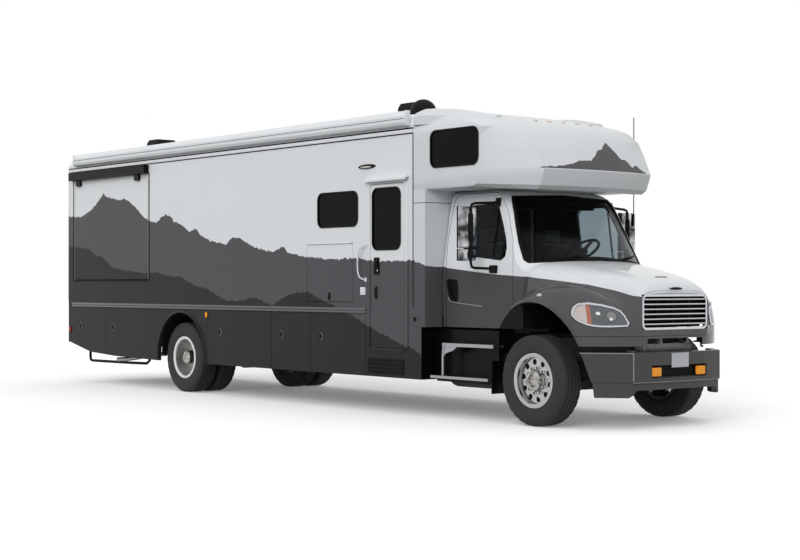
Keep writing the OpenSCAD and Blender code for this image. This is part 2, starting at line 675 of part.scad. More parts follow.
// Stations of the hood: [x, half section of [y, z] from the crown out to the fender's side]
hood_stations = [
    [4600, [[0, 1858], [400, 1852], [720, 1826], [885, 1785], [965, 1710], [996, 1615], [1012, 1520],
        [1062, 1422], [1150, 1380], [1162, 1290]]],
    [4660, [[0, 1852], [400, 1846], [715, 1820], [880, 1776], [960, 1700], [990, 1608], [1010, 1520],
        [1076, 1440], [1160, 1396], [1168, 1290]]],
    [4760, [[0, 1840], [400, 1834], [700, 1804], [858, 1750], [936, 1660], [975, 1575], [1022, 1508],
        [1102, 1479], [1166, 1418], [1173, 1300]]],
    [4900, [[0, 1818], [395, 1811], [672, 1776], [815, 1710], [893, 1615], [945, 1556], [1027, 1540],
        [1117, 1522], [1171, 1442], [1178, 1310]]],
    [5050, [[0, 1792], [385, 1785], [648, 1748], [768, 1672], [838, 1590], [905, 1550], [1010, 1562],
        [1110, 1543], [1169, 1457], [1178, 1310]]],
    [5240, [[0, 1758], [375, 1750], [614, 1710], [718, 1626], [780, 1552], [858, 1534], [970, 1562],
        [1075, 1540], [1146, 1440], [1163, 1270]]],
    [5420, [[0, 1726], [362, 1717], [578, 1674], [668, 1586], [722, 1512], [798, 1504], [914, 1530],
        [1014, 1500], [1086, 1395], [1108, 1200]]],
    [5560, [[0, 1694], [352, 1685], [550, 1640], [626, 1548], [670, 1466], [742, 1450], [843, 1465],
        [941, 1427], [1003, 1318], [1026, 1150]]],
    [5700, [[0, 1654], [342, 1645], [522, 1600], [588, 1508], [614, 1420], [672, 1376], [757, 1357],
        [836, 1300], [882, 1200], [900, 1075]]],
    [5800, [[0, 1612], [336, 1603], [502, 1558], [562, 1472], [582, 1382], [616, 1292], [662, 1225],
        [706, 1150], [738, 1075], [752, 1000]]],
    [5862, [[0, 1570], [332, 1561], [488, 1521], [549, 1450], [568, 1350], [581, 1252], [596, 1160],
        [610, 1080], [621, 1015], [626, 960]]],
    [5900, [[0, 1517], [325, 1511], [464, 1487], [529, 1440], [558, 1340], [558, 1240], [549, 1150],
        [530, 1070], [506, 1000], [486, 950]]]];
// Flare of the fender behind the hood's rear edge
flare_station = [4480, [[0, 1440], [400, 1436], [720, 1432], [885, 1428], [960, 1422], [985, 1412],
    [1000, 1395], [1030, 1372], [1120, 1345], [1140, 1290]]];

// Point at share t between b and c on the smooth curve through a, b, c and d
function spline(a, b, c, d, t) =
    0.5 * (2 * b + (c - a) * t + (2 * a - 5 * b + 4 * c - d) * t * t + (3 * b - a - 3 * c + d) * t * t * t);

// Smooth list through the items of p, with n steps from one to the next
function smooth(p, n) = [for (i = [0 : len(p) - 2], k = [0 : n - 1])
    spline(p[max(i - 1, 0)], p[i], p[i + 1], p[min(i + 2, len(p) - 1)], k / n), p[len(p) - 1]];

// Ring of the hood at x through a half section, moved in by d; the inner ring reaches lower
function hood_ring(x, h, d) = let (
    low = d > 0 ? 800 : hood_bottom,
    half = [for (i = [0 : len(h) - 1]) [i == 0 ? 0 : h[i][0] - d, h[i][1] - d],
        [h[len(h) - 1][0] - d, low]])
    [for (p = half) [x, p[0], p[1]], for (i = [len(half) - 1 : -1 : 1]) [x, -half[i][0], half[i][1]]];

module hood_loft(d = 0) {
    xs = smooth([for (s = hood_stations) s[0]], 2);
    hs = smooth([for (s = hood_stations) smooth(s[1], 2)], 2);
    skin(concat([hood_ring(flare_station[0] - 1.2 * d, smooth(flare_station[1], 2), d)],
        [for (i = [0 : len(xs) - 1]) hood_ring(xs[i] - 1.2 * d, hs[i], d)]));
}

// Almond outline of a headlamp on the fender's slanted face: [along the face, z]
lamp_outline = [[-20, 1262], [0, 1325], [53, 1359], [158, 1364], [290, 1343], [422, 1314], [494, 1283],
    [540, 1232], [583, 1158], [568, 1130], [435, 1123], [277, 1126], [158, 1140], [53, 1178], [0, 1222]];

module lamp_prism(d = 0)
    translate([5410, -1090, 0]) rotate([90, 0, 53.1]) translate([0, 0, -150])
        linear_extrude(300) offset(delta = d) polygon(lamp_outline);

// Hood with its two tilt pins on brackets under the grille's corners
module hood() color("#55565a") {
    hood_shell();
    both_sides() difference() {
        union() {
            translate([hood_pivot[0], 430, hood_pivot[1]]) rotate([-90, 0, 0]) cylinder(r = 11, h = 30);
            box3([hood_pivot[0] - 24, 436, hood_pivot[1]], [hood_pivot[0] - 2, 454, hood_bottom - 1]);
        }
        translate([hood_pivot[0], 429, hood_pivot[1]]) rotate([-90, 0, 0]) cylinder(r = 6, h = 32);
    }
}

module hood_shell() meshed() difference() {
    hood_loft();
    hood_loft(hood_t);
    cab_loft(-gap);
    // wheel arches
    both_sides() translate([arch_front_x, 0, arch_front_z]) rotate([-90, 0, 0])
        cylinder(r = arch_front_r, h = 1300, $fn = 96);
    box3([4000, -1300, 600], [arch_front_x, 1300, 1075]);
    // openings behind the grille and below it
    box3([5780, -529, 1082], [5920, 529, 1464]);
    box3([5780, -450, 880], [5920, 450, 985]);
    both_sides() lamp_prism(2);
}

module grille() color("#c9ccd0") {
    translate([5868, 0, 0]) rotate([90, 0, 90]) linear_extrude(24) difference() {
        panel_outline([-527, 527, 1084, 1462], 60);
        panel_outline([-507, 507, 1104, 1442], 45);
    }
    for (i = [0 : 5]) box3([5868, -512, 1130 + i * 54], [5892, 512, 1148 + i * 54]);
    color("#101214") for (y = [-260, 0, 260]) box3([5850, y - 12, 1089], [5869, y + 12, 1457]);
}

module headlamps() color("#d9dcdf") both_sides() meshed() intersection() {
    difference() {
        hood_loft(-3);
        hood_loft(lamp_t);
    }
    lamp_prism();
}

/* ---------- what is drawn ---------- */

chassis_frame();
hitch_receiver();
front_axle();
rear_axle();
leaf_springs();
drive_shaft();
engine_block();
fuel_tank();
coach_floor();
entry_steps();
side_wall_right();
side_wall_left();
rear_wall();
roof();
front_cap();
coach_windows();
lower_skirts();
storage_bays();
roof_units();
patio_awning();
cab_shell();
windshield();
cab_seats();
dashboard();
cab_steps();
front_bumper();
hood();
grille();
headlamps();
cab_door();  // cab_door_right
cab_door_glass();  // cab_door_glass_right
door_mirror();  // mirror_right
mirror([0, 1, 0]) cab_door();  // cab_door_left
mirror([0, 1, 0]) cab_door_glass();  // cab_door_glass_left
mirror([0, 1, 0]) door_mirror();  // mirror_left
steering_knuckle(-1);  // steering_knuckle_right
steering_knuckle(1);  // steering_knuckle_left
front_tyre(-1);  // front_tyre_right
front_wheel(-1);  // front_wheel_right
front_tyre(1);  // front_tyre_left
front_wheel(1);  // front_wheel_left
rear_tyres(-1);  // rear_tyres_right
rear_wheels(-1);  // rear_wheels_right
rear_tyres(1);  // rear_tyres_left
rear_wheels(1);  // rear_wheels_left
entry_door();
entry_door_window();
entertainment_hatch();
slideout();  // slideout_right
mirror([0, 1, 0]) slideout();  // slideout_left
baggage_door(seams_right[0]);  // baggage_door_right_1
baggage_door(seams_right[1]);  // baggage_door_right_2
baggage_door(seams_right[2]);  // baggage_door_right_3
baggage_door(seams_right[3]);  // baggage_door_right_4
baggage_door(seams_right[4]);  // baggage_door_right_5
mirror([0, 1, 0]) baggage_door(seams_left[0]);  // baggage_door_left_1
mirror([0, 1, 0]) baggage_door(seams_left[1]);  // baggage_door_left_2
mirror([0, 1, 0]) baggage_door(seams_left[2]);  // baggage_door_left_3
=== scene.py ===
"""Looks of the motorhome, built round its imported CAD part.

Metres, X forward, Y to the vehicle's left, Z up, origin on the ground under the vehicle's middle.
Paint, glass and metals are node materials in each piece's own coordinates, which are the frame's at rest.
"""

import math

import bmesh
import bpy
from mathutils import Matrix, Vector


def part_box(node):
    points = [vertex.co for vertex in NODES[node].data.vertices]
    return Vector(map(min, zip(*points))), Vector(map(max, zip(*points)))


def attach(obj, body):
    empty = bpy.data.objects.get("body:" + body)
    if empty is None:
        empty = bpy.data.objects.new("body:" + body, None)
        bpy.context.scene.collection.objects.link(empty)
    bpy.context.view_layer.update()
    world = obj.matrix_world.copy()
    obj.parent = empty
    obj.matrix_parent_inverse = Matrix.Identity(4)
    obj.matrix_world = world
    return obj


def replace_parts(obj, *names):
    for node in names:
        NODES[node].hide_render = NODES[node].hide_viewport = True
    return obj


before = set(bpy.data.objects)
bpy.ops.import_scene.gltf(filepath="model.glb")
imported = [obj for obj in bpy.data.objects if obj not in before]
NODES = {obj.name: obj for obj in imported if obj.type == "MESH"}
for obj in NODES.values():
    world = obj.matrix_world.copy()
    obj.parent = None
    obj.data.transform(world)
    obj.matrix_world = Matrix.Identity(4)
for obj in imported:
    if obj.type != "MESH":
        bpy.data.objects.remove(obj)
for spare in ("Cube", "Light", "Camera"):
    if spare in bpy.data.objects:
        bpy.data.objects.remove(bpy.data.objects[spare])
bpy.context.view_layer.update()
SIDES = (("right", -1), ("left", 1))


# ---------- dimensions, read from the frame where a node gives them ----------


def middle(node, axis):
    """Middle of a CAD node's box along an axis."""
    low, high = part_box(node)
    return (low[axis] + high[axis]) / 2


WALL_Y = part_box("side_wall_left")[1].y
REAR_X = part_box("rear_wall")[0].x
SEAM_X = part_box("side_wall_right")[1].x
WHEEL_Z = middle("front_tyre_left", 2)
TYRE_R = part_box("front_tyre_left")[1].z - WHEEL_Z
FRONT_X = middle("front_tyre_left", 0)
REAR_AXLE_X = middle("rear_tyres_left", 0)
TYRE_W = 0.28
BEAD_R = 0.286
CAB_Y = 1.03
CAB_REAR_X = 3.17
CAP_JOINT_Z = 2.545
NOSE_X, LIP_Z = 4.45, 2.885
HOOD_EDGE_Z = 1.012
HAIRLINE = 0.004
SLAT_STEP = 0.054
MIRROR_Y = 1.302

# Points inside hollow nodes: faces that look towards them get the inner colour.
CAB_INSIDE = (3.95, 0.0, 1.85)
COACH_INSIDE = (-1.5, 0.0, 2.3)
ENGINE_BAY = (5.1, 0.0, 1.0)

# Wheel arches as (x, z, radius).
ARCH_FRONT = (4.82, 0.69, 0.693)
ARCH_REAR = (-2.41, 0.52, 0.64)

# Raggedness of the painted ridges in broad and fine steps, its share on the cab, and a height above them all.
RIDGE_JAG, RIDGE_TEETH = 0.035, 0.06
CALM = 0.06
RIDGE_TOP = 4.0

# Rays that look for a surface start this far out, and go backwards or down.
FAR = 8.0
BACK, DOWN = (-1, 0, 0), (0, 0, -1)

# ---------- colours, as sRGB levels ----------

WHITE = (224, 227, 229)
# Painted shade: a darker copy of the same white paint, for the cap and the hood, so that their fronts and
# tops look less brightly lit.
SHADED_WHITE = (212, 215, 217)
MID_GREY = (82, 81, 85)
DARK_GREY = (39, 39, 43)
CAB_GREY = (76, 75, 78)
BLACK = (10, 10, 12)
INNER_WALL = (196, 188, 174)
INNER_CAB = (17, 20, 21)


def rgb(colour):
    """Linear RGBA from sRGB levels of 0 to 255."""
    levels = [c / 255 for c in colour]
    return (*[c / 12.92 if c <= 0.04045 else ((c + 0.055) / 1.055) ** 2.4 for c in levels], 1.0)


# ---------- material building ----------


class Nodes:
    """Short calls that add nodes to a tree."""

    def __init__(self, tree):
        self.tree = tree

    def put(self, value, target):
        """Gives a socket a value, a colour of sRGB levels or another node's output."""
        if isinstance(value, bpy.types.NodeSocket):
            self.tree.links.new(value, target)
        elif target.type == "RGBA" and len(value) == 3:
            target.default_value = rgb(value)
        else:
            target.default_value = value

    def add(self, kind, inputs, **settings):
        """Adds a node, with its settings and inputs, and returns its outputs."""
        node = self.tree.nodes.new("ShaderNode" + kind)
        for key, value in settings.items():
            setattr(node, key, value)
        for socket, value in inputs.items():
            self.put(value, node.inputs[socket])
        return node.outputs

    def maths(self, operation, a, b=0.0):
        return self.add("Math", {0: a, 1: b}, operation=operation)[0]

    def plus(self, a, b):
        return self.maths("ADD", a, b)

    def minus(self, a, b):
        return self.maths("SUBTRACT", a, b)

    def times(self, a, b):
        return self.maths("MULTIPLY", a, b)

    def over(self, a, b):
        """1 where a is more than b."""
        return self.maths("GREATER_THAN", a, b)

    def under(self, a, b):
        """1 where a is less than b."""
        return self.maths("LESS_THAN", a, b)

    def size(self, a):
        return self.maths("ABSOLUTE", a)

    def wave(self, a, pitch):
        return self.maths("SINE", self.times(a, pitch))

    def near(self, value, target, half):
        """1 where value is within half of target."""
        return self.under(self.size(self.minus(value, target)), half)

    def disc(self, x, z, x0, z0, radius):
        """1 inside a circle round (x0, z0)."""
        across, up = (self.maths("POWER", self.minus(a, a0), 2.0) for a, a0 in ((x, x0), (z, z0)))
        return self.under(self.plus(across, up), radius * radius)

    def spread(self, value, low, high):
        """Maps 0..1 to low..high."""
        return self.add("MapRange", {0: value, 3: low, 4: high})[0]


class Shader(Nodes):
    """A node material with a Principled shader."""

    def __init__(self, name, **settings):
        self.material = bpy.data.materials.new(name)
        self.material.use_nodes = True
        super().__init__(self.material.node_tree)
        self.tree.nodes.clear()
        self.bsdf = self.tree.nodes.new("ShaderNodeBsdfPrincipled")
        out = self.tree.nodes.new("ShaderNodeOutputMaterial")
        self.tree.links.new(self.bsdf.outputs["BSDF"], out.inputs["Surface"])
        self.coords = self.add("TexCoord", {})
        for key, value in settings.items():
            self.put(value, self.bsdf.inputs[key.replace("_", " ")])

    def axes(self, coordinates="Object"):
        return self.add("SeparateXYZ", {0: self.coords[coordinates]})

    def vector(self, x=0.0, y=0.0, z=0.0):
        return self.add("CombineXYZ", {0: x, 1: y, 2: z})[0]

    def noise(self, scale, detail=3.0, vector=None, roughness=0.55):
        place = vector or self.coords["Object"]
        inputs = {"Scale": scale, "Detail": detail, "Roughness": roughness, "Vector": place}
        return self.add("TexNoise", inputs)["Fac"]

    def mix(self, factor, a, b):
        return self.add("Mix", {0: factor, 6: a, 7: b}, data_type="RGBA")[2]

    def finish(self, colour, rough, bump=None, drift=None):
        """Sets the surface and returns the material.

        rough is (low, high, noise scale), bump is (height, strength, distance), and drift varies the colour's
        brightness by (amount, noise scale).
        """
        if drift:
            value = self.spread(self.noise(drift[1]), 1 - drift[0], 1 + drift[0])
            colour = self.add("HueSaturation", {"Color": colour, "Value": value})[0]
        self.put(colour, self.bsdf.inputs["Base Color"])
        self.put(self.spread(self.noise(rough[2]), rough[0], rough[1]), self.bsdf.inputs["Roughness"])
        if bump:
            height, strength, distance = bump
            normal = self.add("Bump", {"Strength": strength, "Distance": distance, "Height": height})[0]
            self.put(normal, self.bsdf.inputs["Normal"])
        return self.material

    def height_line(self, along, points, low, high):
        """Height of a line through points, each (place, height), at a place between low and high."""
        node = self.tree.nodes.new("ShaderNodeFloatCurve")
        curve = node.mapping.curves[0]
        inside = [p for p in points if low < p[0] < high]
        wanted = [(low, level(points, low)), *inside, (high, level(points, high))]
        while len(curve.points) < len(wanted):
            curve.points.new(0.5, 0.5)
        for point, (x, h) in zip(curve.points, wanted):
            point.location = ((x - low) / (high - low), h / RIDGE_TOP)
            point.handle_type = "VECTOR"
        node.mapping.update()
        self.put(self.maths("DIVIDE", self.minus(along, low), high - low), node.inputs["Value"])
        return self.times(node.outputs[0], RIDGE_TOP)

    def ridge(self, along, points, parts=4):
        """Height of a ridge, in parts that keep its peaks sharp."""
        low, high = points[0][0], points[-1][0]
        step = (high - low) / parts
        total = None
        for i in range(parts):
            line = self.height_line(along, points, low + i * step, low + (i + 1) * step)
            if total:
                past = self.over(along, low + i * step)
                line = self.plus(total, self.times(past, self.minus(line, total)))
            total = line
        return total

    def ridge_colours(self, along, z, tones, jagged=1.0):
        """White above the upper ridge, mid grey between the ridges, dark grey below."""
        white, grey, dark = tones
        jag = self.spread(self.noise(5.0, 4.0, self.vector(along)), -RIDGE_JAG, RIDGE_JAG)
        teeth = self.spread(self.noise(17.0, 5.0, self.vector(along, 3.0), 0.7), -RIDGE_TEETH, RIDGE_TEETH)
        rough_z = self.plus(z, self.times(self.plus(jag, teeth), jagged))
        over_mid = self.over(rough_z, self.ridge(along, MID_RIDGE))
        over_dark = self.over(rough_z, self.ridge(along, DARK_RIDGE))
        return self.mix(over_mid, self.mix(over_dark, dark, grey), white)

    def inner_faces(self, centre):
        """1 where a face looks towards the centre, 0 where it looks away from it."""
        offset = self.add("VectorMath", {0: self.coords["Object"], 1: centre}, operation="SUBTRACT")[0]
        product = self.add("VectorMath", {0: offset, 1: self.coords["Normal"]}, operation="DOT_PRODUCT")
        return self.under(product["Value"], 0.0)


def level(points, x):
    """Height of the line through points at x."""
    for (x0, z0), (x1, z1) in zip(points, points[1:]):
        if x0 <= x <= x1:
            return z0 + (z1 - z0) * (x - x0) / (x1 - x0)
    return points[-1][1] if x > points[-1][0] else points[0][1]


# ---------- livery: two mountain ridges along the sides, and one on the cap's nose ----------

MID_RIDGE = [
    (-6.0, 2.68), (-5.5, 2.66), (-5.14, 2.77), (-4.85, 2.94), (-4.76, 3.01), (-4.69, 2.95), (-4.45, 2.92),
    (-4.3, 2.87), (-4.1, 2.9), (-3.85, 2.8), (-3.55, 2.62), (-3.35, 2.53), (-3.1, 2.49), (-3.0, 2.57),
    (-2.85, 2.61), (-2.7, 2.57), (-2.63, 2.5), (-2.35, 2.42), (-2.18, 2.33), (-2.0, 2.38), (-1.88, 2.28),
    (-1.63, 2.19), (-1.35, 2.16), (-1.22, 2.12), (-1.1, 2.2), (-1.0, 2.23), (-0.85, 2.21), (-0.62, 2.12),
    (-0.35, 2.05), (-0.04, 2.01), (0.2, 2.08), (0.3, 2.0), (0.55, 1.95), (1.3, 1.89), (1.8, 1.91),
    (2.1, 1.86), (2.92, 1.86), (3.24, 1.77), (4.06, 1.69), (4.6, 1.66), (5.0, 1.61), (5.3, 1.57),
    (5.58, 1.51), (5.8, 1.45), (6.0, 1.43)]
DARK_RIDGE = [
    (-6.0, 2.2), (-5.25, 2.14), (-5.05, 2.04), (-4.8, 2.0), (-4.45, 1.83), (-4.1, 1.79), (-3.6, 1.75),
    (-3.1, 1.75), (-2.7, 1.69), (-2.4, 1.68), (-2.1, 1.57), (-1.7, 1.51), (-1.2, 1.34), (-0.8, 1.35),
    (-0.5, 1.4), (-0.07, 1.29), (0.3, 1.44), (0.75, 1.48), (1.0, 1.39), (1.4, 1.28), (1.7, 1.19), (2.1, 1.03),
    (2.35, 0.96), (2.65, 0.86), (2.95, 0.79), (3.05, 0.74), (3.2, 0.3), (6.0, 0.3)]
NOSE_RIDGE = [
    (-1.0, 2.86), (-0.9, 2.9), (-0.7, 2.91), (-0.5, 2.94), (-0.32, 2.99), (-0.15, 3.0), (-0.06, 3.06),
    (0.0, 3.12), (0.1, 3.15), (0.23, 3.24), (0.32, 3.12), (0.39, 3.03), (0.45, 3.04), (0.55, 2.95),
    (0.63, 2.98), (0.83, 2.87), (1.0, 2.86)]


def hood_crease_shade(shader, place):
    """Painted shade: a black hairline in the crease along the lower edge of the hood."""
    return shader.times(shader.near(place["Z"], HOOD_EDGE_Z, HAIRLINE), shader.over(place["X"], 5.2))


def wheel_well_shadow(shader, place):
    """Painted shadow: the cab inside the front wheel arch and below the hood is painted black as the wheel
    well's shade.
    """
    ahead = shader.times(shader.over(place["X"], 4.16), shader.under(place["Z"], 1.35))
    return shader.maths("MAXIMUM", shader.disc(place["X"], place["Z"], *ARCH_FRONT), ahead)


def behind_steps(shader, place):
    """The skirt behind the cab steps."""
    return shader.over(place["X"], 3.068)


def topper(shader, place):
    """The slide-out's topper housing and brackets stand out of the side."""
    return shader.over(shader.size(place["Y"]), WALL_Y + 0.002)


def gloss_paint(shader, colour):
    """Clear-coated paint: slight colour drift, varied gloss and a fine orange-peel surface."""
    return shader.finish(colour, (0.3, 0.4, 6.0), (shader.noise(220.0, 2.0), 0.03, 0.0006), (0.03, 1.3))


def livery(name, inside=None, wrap=False, dark=None, grey=MID_GREY, gloss=0.04, jagged=1.0, white=WHITE):
    """Painted surface with the ridges. wrap turns them onto the rear wall; dark masks parts painted black,
    which are black parts on some surfaces and painted shade on the cab's wheel well and the hood's crease.
    """
    shader = Shader(name, Coat_Weight=gloss, Coat_Roughness=0.06, Specular_IOR_Level=0.08)
    place = shader.axes()
    x, y, z = place
    along = shader.plus(x, shader.minus(WALL_Y, shader.size(y))) if wrap else x
    colour = shader.ridge_colours(along, z, (white, grey, DARK_GREY), jagged)
    if dark:
        colour = shader.mix(dark(shader, place), colour, BLACK)
    if inside:
        trim = shader.mix(shader.over(x, CAB_REAR_X), INNER_WALL, INNER_CAB)
        colour = shader.mix(shader.inner_faces(inside), colour, trim)
    return gloss_paint(shader, colour)


def cap_material():
    """Cap in the shaded white, a painted shade, with the mountain on its nose and the joint above the panel
    below it.
    """
    shader = Shader("cap_paint", Coat_Weight=0.04, Coat_Roughness=0.06, Specular_IOR_Level=0.08)
    x, y, z = shader.axes()
    colour = shader.ridge_colours(x, z, (SHADED_WHITE, MID_GREY, DARK_GREY))
    jag = shader.spread(shader.noise(16.0, 5.0, shader.vector(y), 0.7), -RIDGE_JAG, RIDGE_JAG)
    below = shader.under(shader.plus(z, jag), shader.height_line(y, NOSE_RIDGE, -1.0, 1.0))
    on_nose = shader.times(shader.over(x, NOSE_X), shader.over(z, LIP_Z))
    mountain = shader.times(shader.times(below, on_nose), shader.under(shader.size(y), 0.9))
    joint = shader.times(shader.near(z, CAP_JOINT_Z, HAIRLINE), shader.under(x, CAB_REAR_X))
    colour = shader.mix(mountain, colour, (88, 87, 90))
    return gloss_paint(shader, shader.mix(joint, colour, (40, 40, 42)))


def grained(name, colour, rough, drift, grain, **settings):
    """Plain material with a noise bump; grain is (noise scale, detail, strength, distance)."""
    shader = Shader(name, **settings)
    scale, detail, strength, distance = grain
    return shader.finish(colour, rough, (shader.noise(scale, detail), strength, distance), drift)


def plain_paint(name, colour, low=0.3, high=0.42, coat=0.05):
    return grained(name, colour, (low, high, 8.0), (0.05, 2.0), (260.0, 2.0, 0.03, 0.0006),
                   Coat_Weight=coat, Coat_Roughness=0.08, Specular_IOR_Level=0.1)


def moulded(name, colour, low=0.5, high=0.7, grain=600.0, strength=0.15):
    """Moulded plastic, rubber or trim with a fine pebble grain."""
    return grained(name, colour, (low, high, 5.0), (0.12, 6.0), (grain, 2.0, strength, 0.0006),
                   Specular_IOR_Level=0.12)


def chrome(name="chrome", colour=(198, 200, 204), low=0.04, high=0.12):
    return Shader(name, Metallic=1.0).finish(colour, (low, high, 20.0), drift=(0.04, 14.0))


def chrome_with_painted_reflections(name, scale, pale, dark):
    """Chrome with painted reflections: the broad light and dark areas that polished curved metal shows."""
    shader = Shader(name, Metallic=1.0)
    patches = shader.spread(shader.noise(scale, 2.0), -1.1, 2.1)
    return shader.finish(shader.mix(patches, pale, dark), (0.05, 0.16, 20.0), drift=(0.04, 14.0))


def grille_chrome():
    """Chrome slats with a painted dark reflection along their lower edges; the bars behind them are black."""
    shader = Shader("grille_chrome", Metallic=1.0)
    x, y, z = shader.axes()
    step = shader.maths("DIVIDE", shader.minus(z, 1.128), SLAT_STEP)
    # Painted dark reflection along the lower edge of each slat.
    dark_reflection_edge = shader.under(shader.maths("FRACT", step), 0.17)
    on_slat = shader.under(shader.size(y), 0.505)
    tone = shader.mix(shader.times(dark_reflection_edge, on_slat), (196, 198, 202), (72, 74, 77))
    value = shader.spread(shader.noise(14.0), 0.95, 1.05)
    tone = shader.add("HueSaturation", {"Color": tone, "Value": value})[0]
    return shader.finish(shader.mix(shader.under(x, 5.8703), tone, BLACK), (0.12, 0.22, 20.0))


def brushed(name, colour, low, high):
    """Bare aluminium with a fine grain along X."""
    shader = Shader(name, Metallic=1.0)
    drawn = [shader.times(a, s) for a, s in zip(shader.axes(), (0.3, 4.0, 4.0))]
    grain = shader.noise(60.0, 6.0, shader.vector(*drawn))
    return shader.finish(colour, (low, high, 15.0), (grain, 0.05, 0.0004), (0.06, 25.0))


def underside(name, colour):
    """Painted chassis steel with a little road dust."""
    shader = Shader(name, Specular_IOR_Level=0.25)
    dust = shader.maths("MAXIMUM", shader.spread(shader.noise(4.0, 5.0), -0.2, 0.7), 0.0)
    grain = shader.noise(90.0, 4.0)
    return shader.finish(shader.mix(dust, colour, (88, 82, 74)), (0.5, 0.8, 8.0), (grain, 0.2, 0.001))


def clear_glass(name, tint):
    """Tinted glass that shows the cab behind it."""
    return Shader(name, Transmission_Weight=1.0, IOR=1.15).finish(tint, (0.0, 0.02, 1.0), drift=(0.03, 1.0))


def lens(name, colour, glow=0.0):
    """Coloured lamp plastic with fine optic ribs."""
    shader = Shader(name, Coat_Weight=0.25, Coat_Roughness=0.03, Transmission_Weight=0.15,
                    Specular_IOR_Level=0.15)
    if glow:
        shader.put(colour, shader.bsdf.inputs["Emission Color"])
        shader.put(glow, shader.bsdf.inputs["Emission Strength"])
    y, z = shader.axes()[1:]
    ribs = shader.wave(shader.plus(y, z), 420.0)
    tone = shader.mix(shader.spread(ribs, 0.0, 0.35), colour, [c * 0.75 for c in colour])
    return shader.finish(tone, (0.1, 0.2, 8.0), (ribs, 0.2, 0.001))


def perforated():
    """Aluminium step tread with raised, punched holes; the holes on its top are painted dark as the shade
    seen through them.
    """
    shader = Shader("step_tread", Metallic=1.0)
    x, y = shader.axes()[:2]
    waves = shader.times(shader.wave(x, 125.0), shader.wave(y, 125.0))
    top = shader.over(shader.axes("Normal")[2], 0.7)
    # The dark dots on top are painted shade seen through the punched holes.
    tone = shader.mix(shader.times(shader.over(waves, 0.35), top), (176, 178, 181), (26, 26, 28))
    return shader.finish(tone, (0.25, 0.4, 8.0), (waves, 0.25, 0.002))


# Projector discs as (across, height, radius, grey level); the small spots of level 235 and 232 are painted
# highlights on the projector lenses.
PROJECTORS_AND_GLINTS = ((0.945, 1.262, 0.045, 92), (0.945, 1.262, 0.018, 235), (0.83, 1.232, 0.062, 84),
              (0.83, 1.232, 0.046, 128), (0.838, 1.2, 0.016, 232))


def headlamp_glass():
    """Clear lens over a grey reflector: amber and pale bands at the outer end, two projectors inside with
    painted highlights on them.
    """
    shader = Shader("headlamp_glass", Coat_Weight=0.5, Coat_Roughness=0.02, Specular_IOR_Level=0.3)
    y, z = shader.axes()[1:]
    out = shader.size(y)
    bands = shader.spread(shader.wave(out, 820.0), 0.0, 0.5)
    colour = shader.mix(shader.noise(30.0, 4.0), (58, 61, 64), (112, 116, 119))
    colour = shader.mix(shader.over(out, 1.0), colour, (170, 104, 80))
    colour = shader.mix(shader.over(out, 1.03), colour, shader.mix(bands, (206, 196, 192), (150, 124, 116)))
    for y0, z0, radius, tone in PROJECTORS_AND_GLINTS:
        colour = shader.mix(shader.disc(out, z, y0, z0, radius), colour, (tone, tone + 2, tone + 3))
    return shader.finish(colour, (0.08, 0.2, 25.0), (shader.noise(70.0), 0.15, 0.002))


def cloth(name, colour):
    """Woven seat cloth."""
    shader = Shader(name, Sheen_Weight=0.3)
    x, y, z = (shader.wave(a, 1500.0) for a in shader.axes())
    weave = shader.plus(shader.times(x, y), z)
    return shader.finish(colour, (0.8, 0.95, 8.0), (weave, 0.2, 0.0005), (0.15, 30.0))


def wood_floor():
    """Planks on top; the edges and the underside are dark board."""
    shader = Shader("floor_planks", Coat_Weight=0.2, Coat_Roughness=0.2)
    x, y, z = shader.axes()
    grain = shader.noise(9.0, 6.0, shader.vector(shader.times(x, 0.2), y, z))
    seam = shader.under(shader.maths("FRACT", shader.times(y, 7.0)), 0.03)
    planks = shader.mix(seam, shader.mix(grain, (128, 102, 78), (166, 138, 108)), (60, 46, 36))
    upward = shader.over(shader.axes("Normal")[2], 0.5)
    return shader.finish(shader.mix(upward, (26, 25, 24), planks), (0.35, 0.5, 8.0), (grain, 0.1, 0.001))


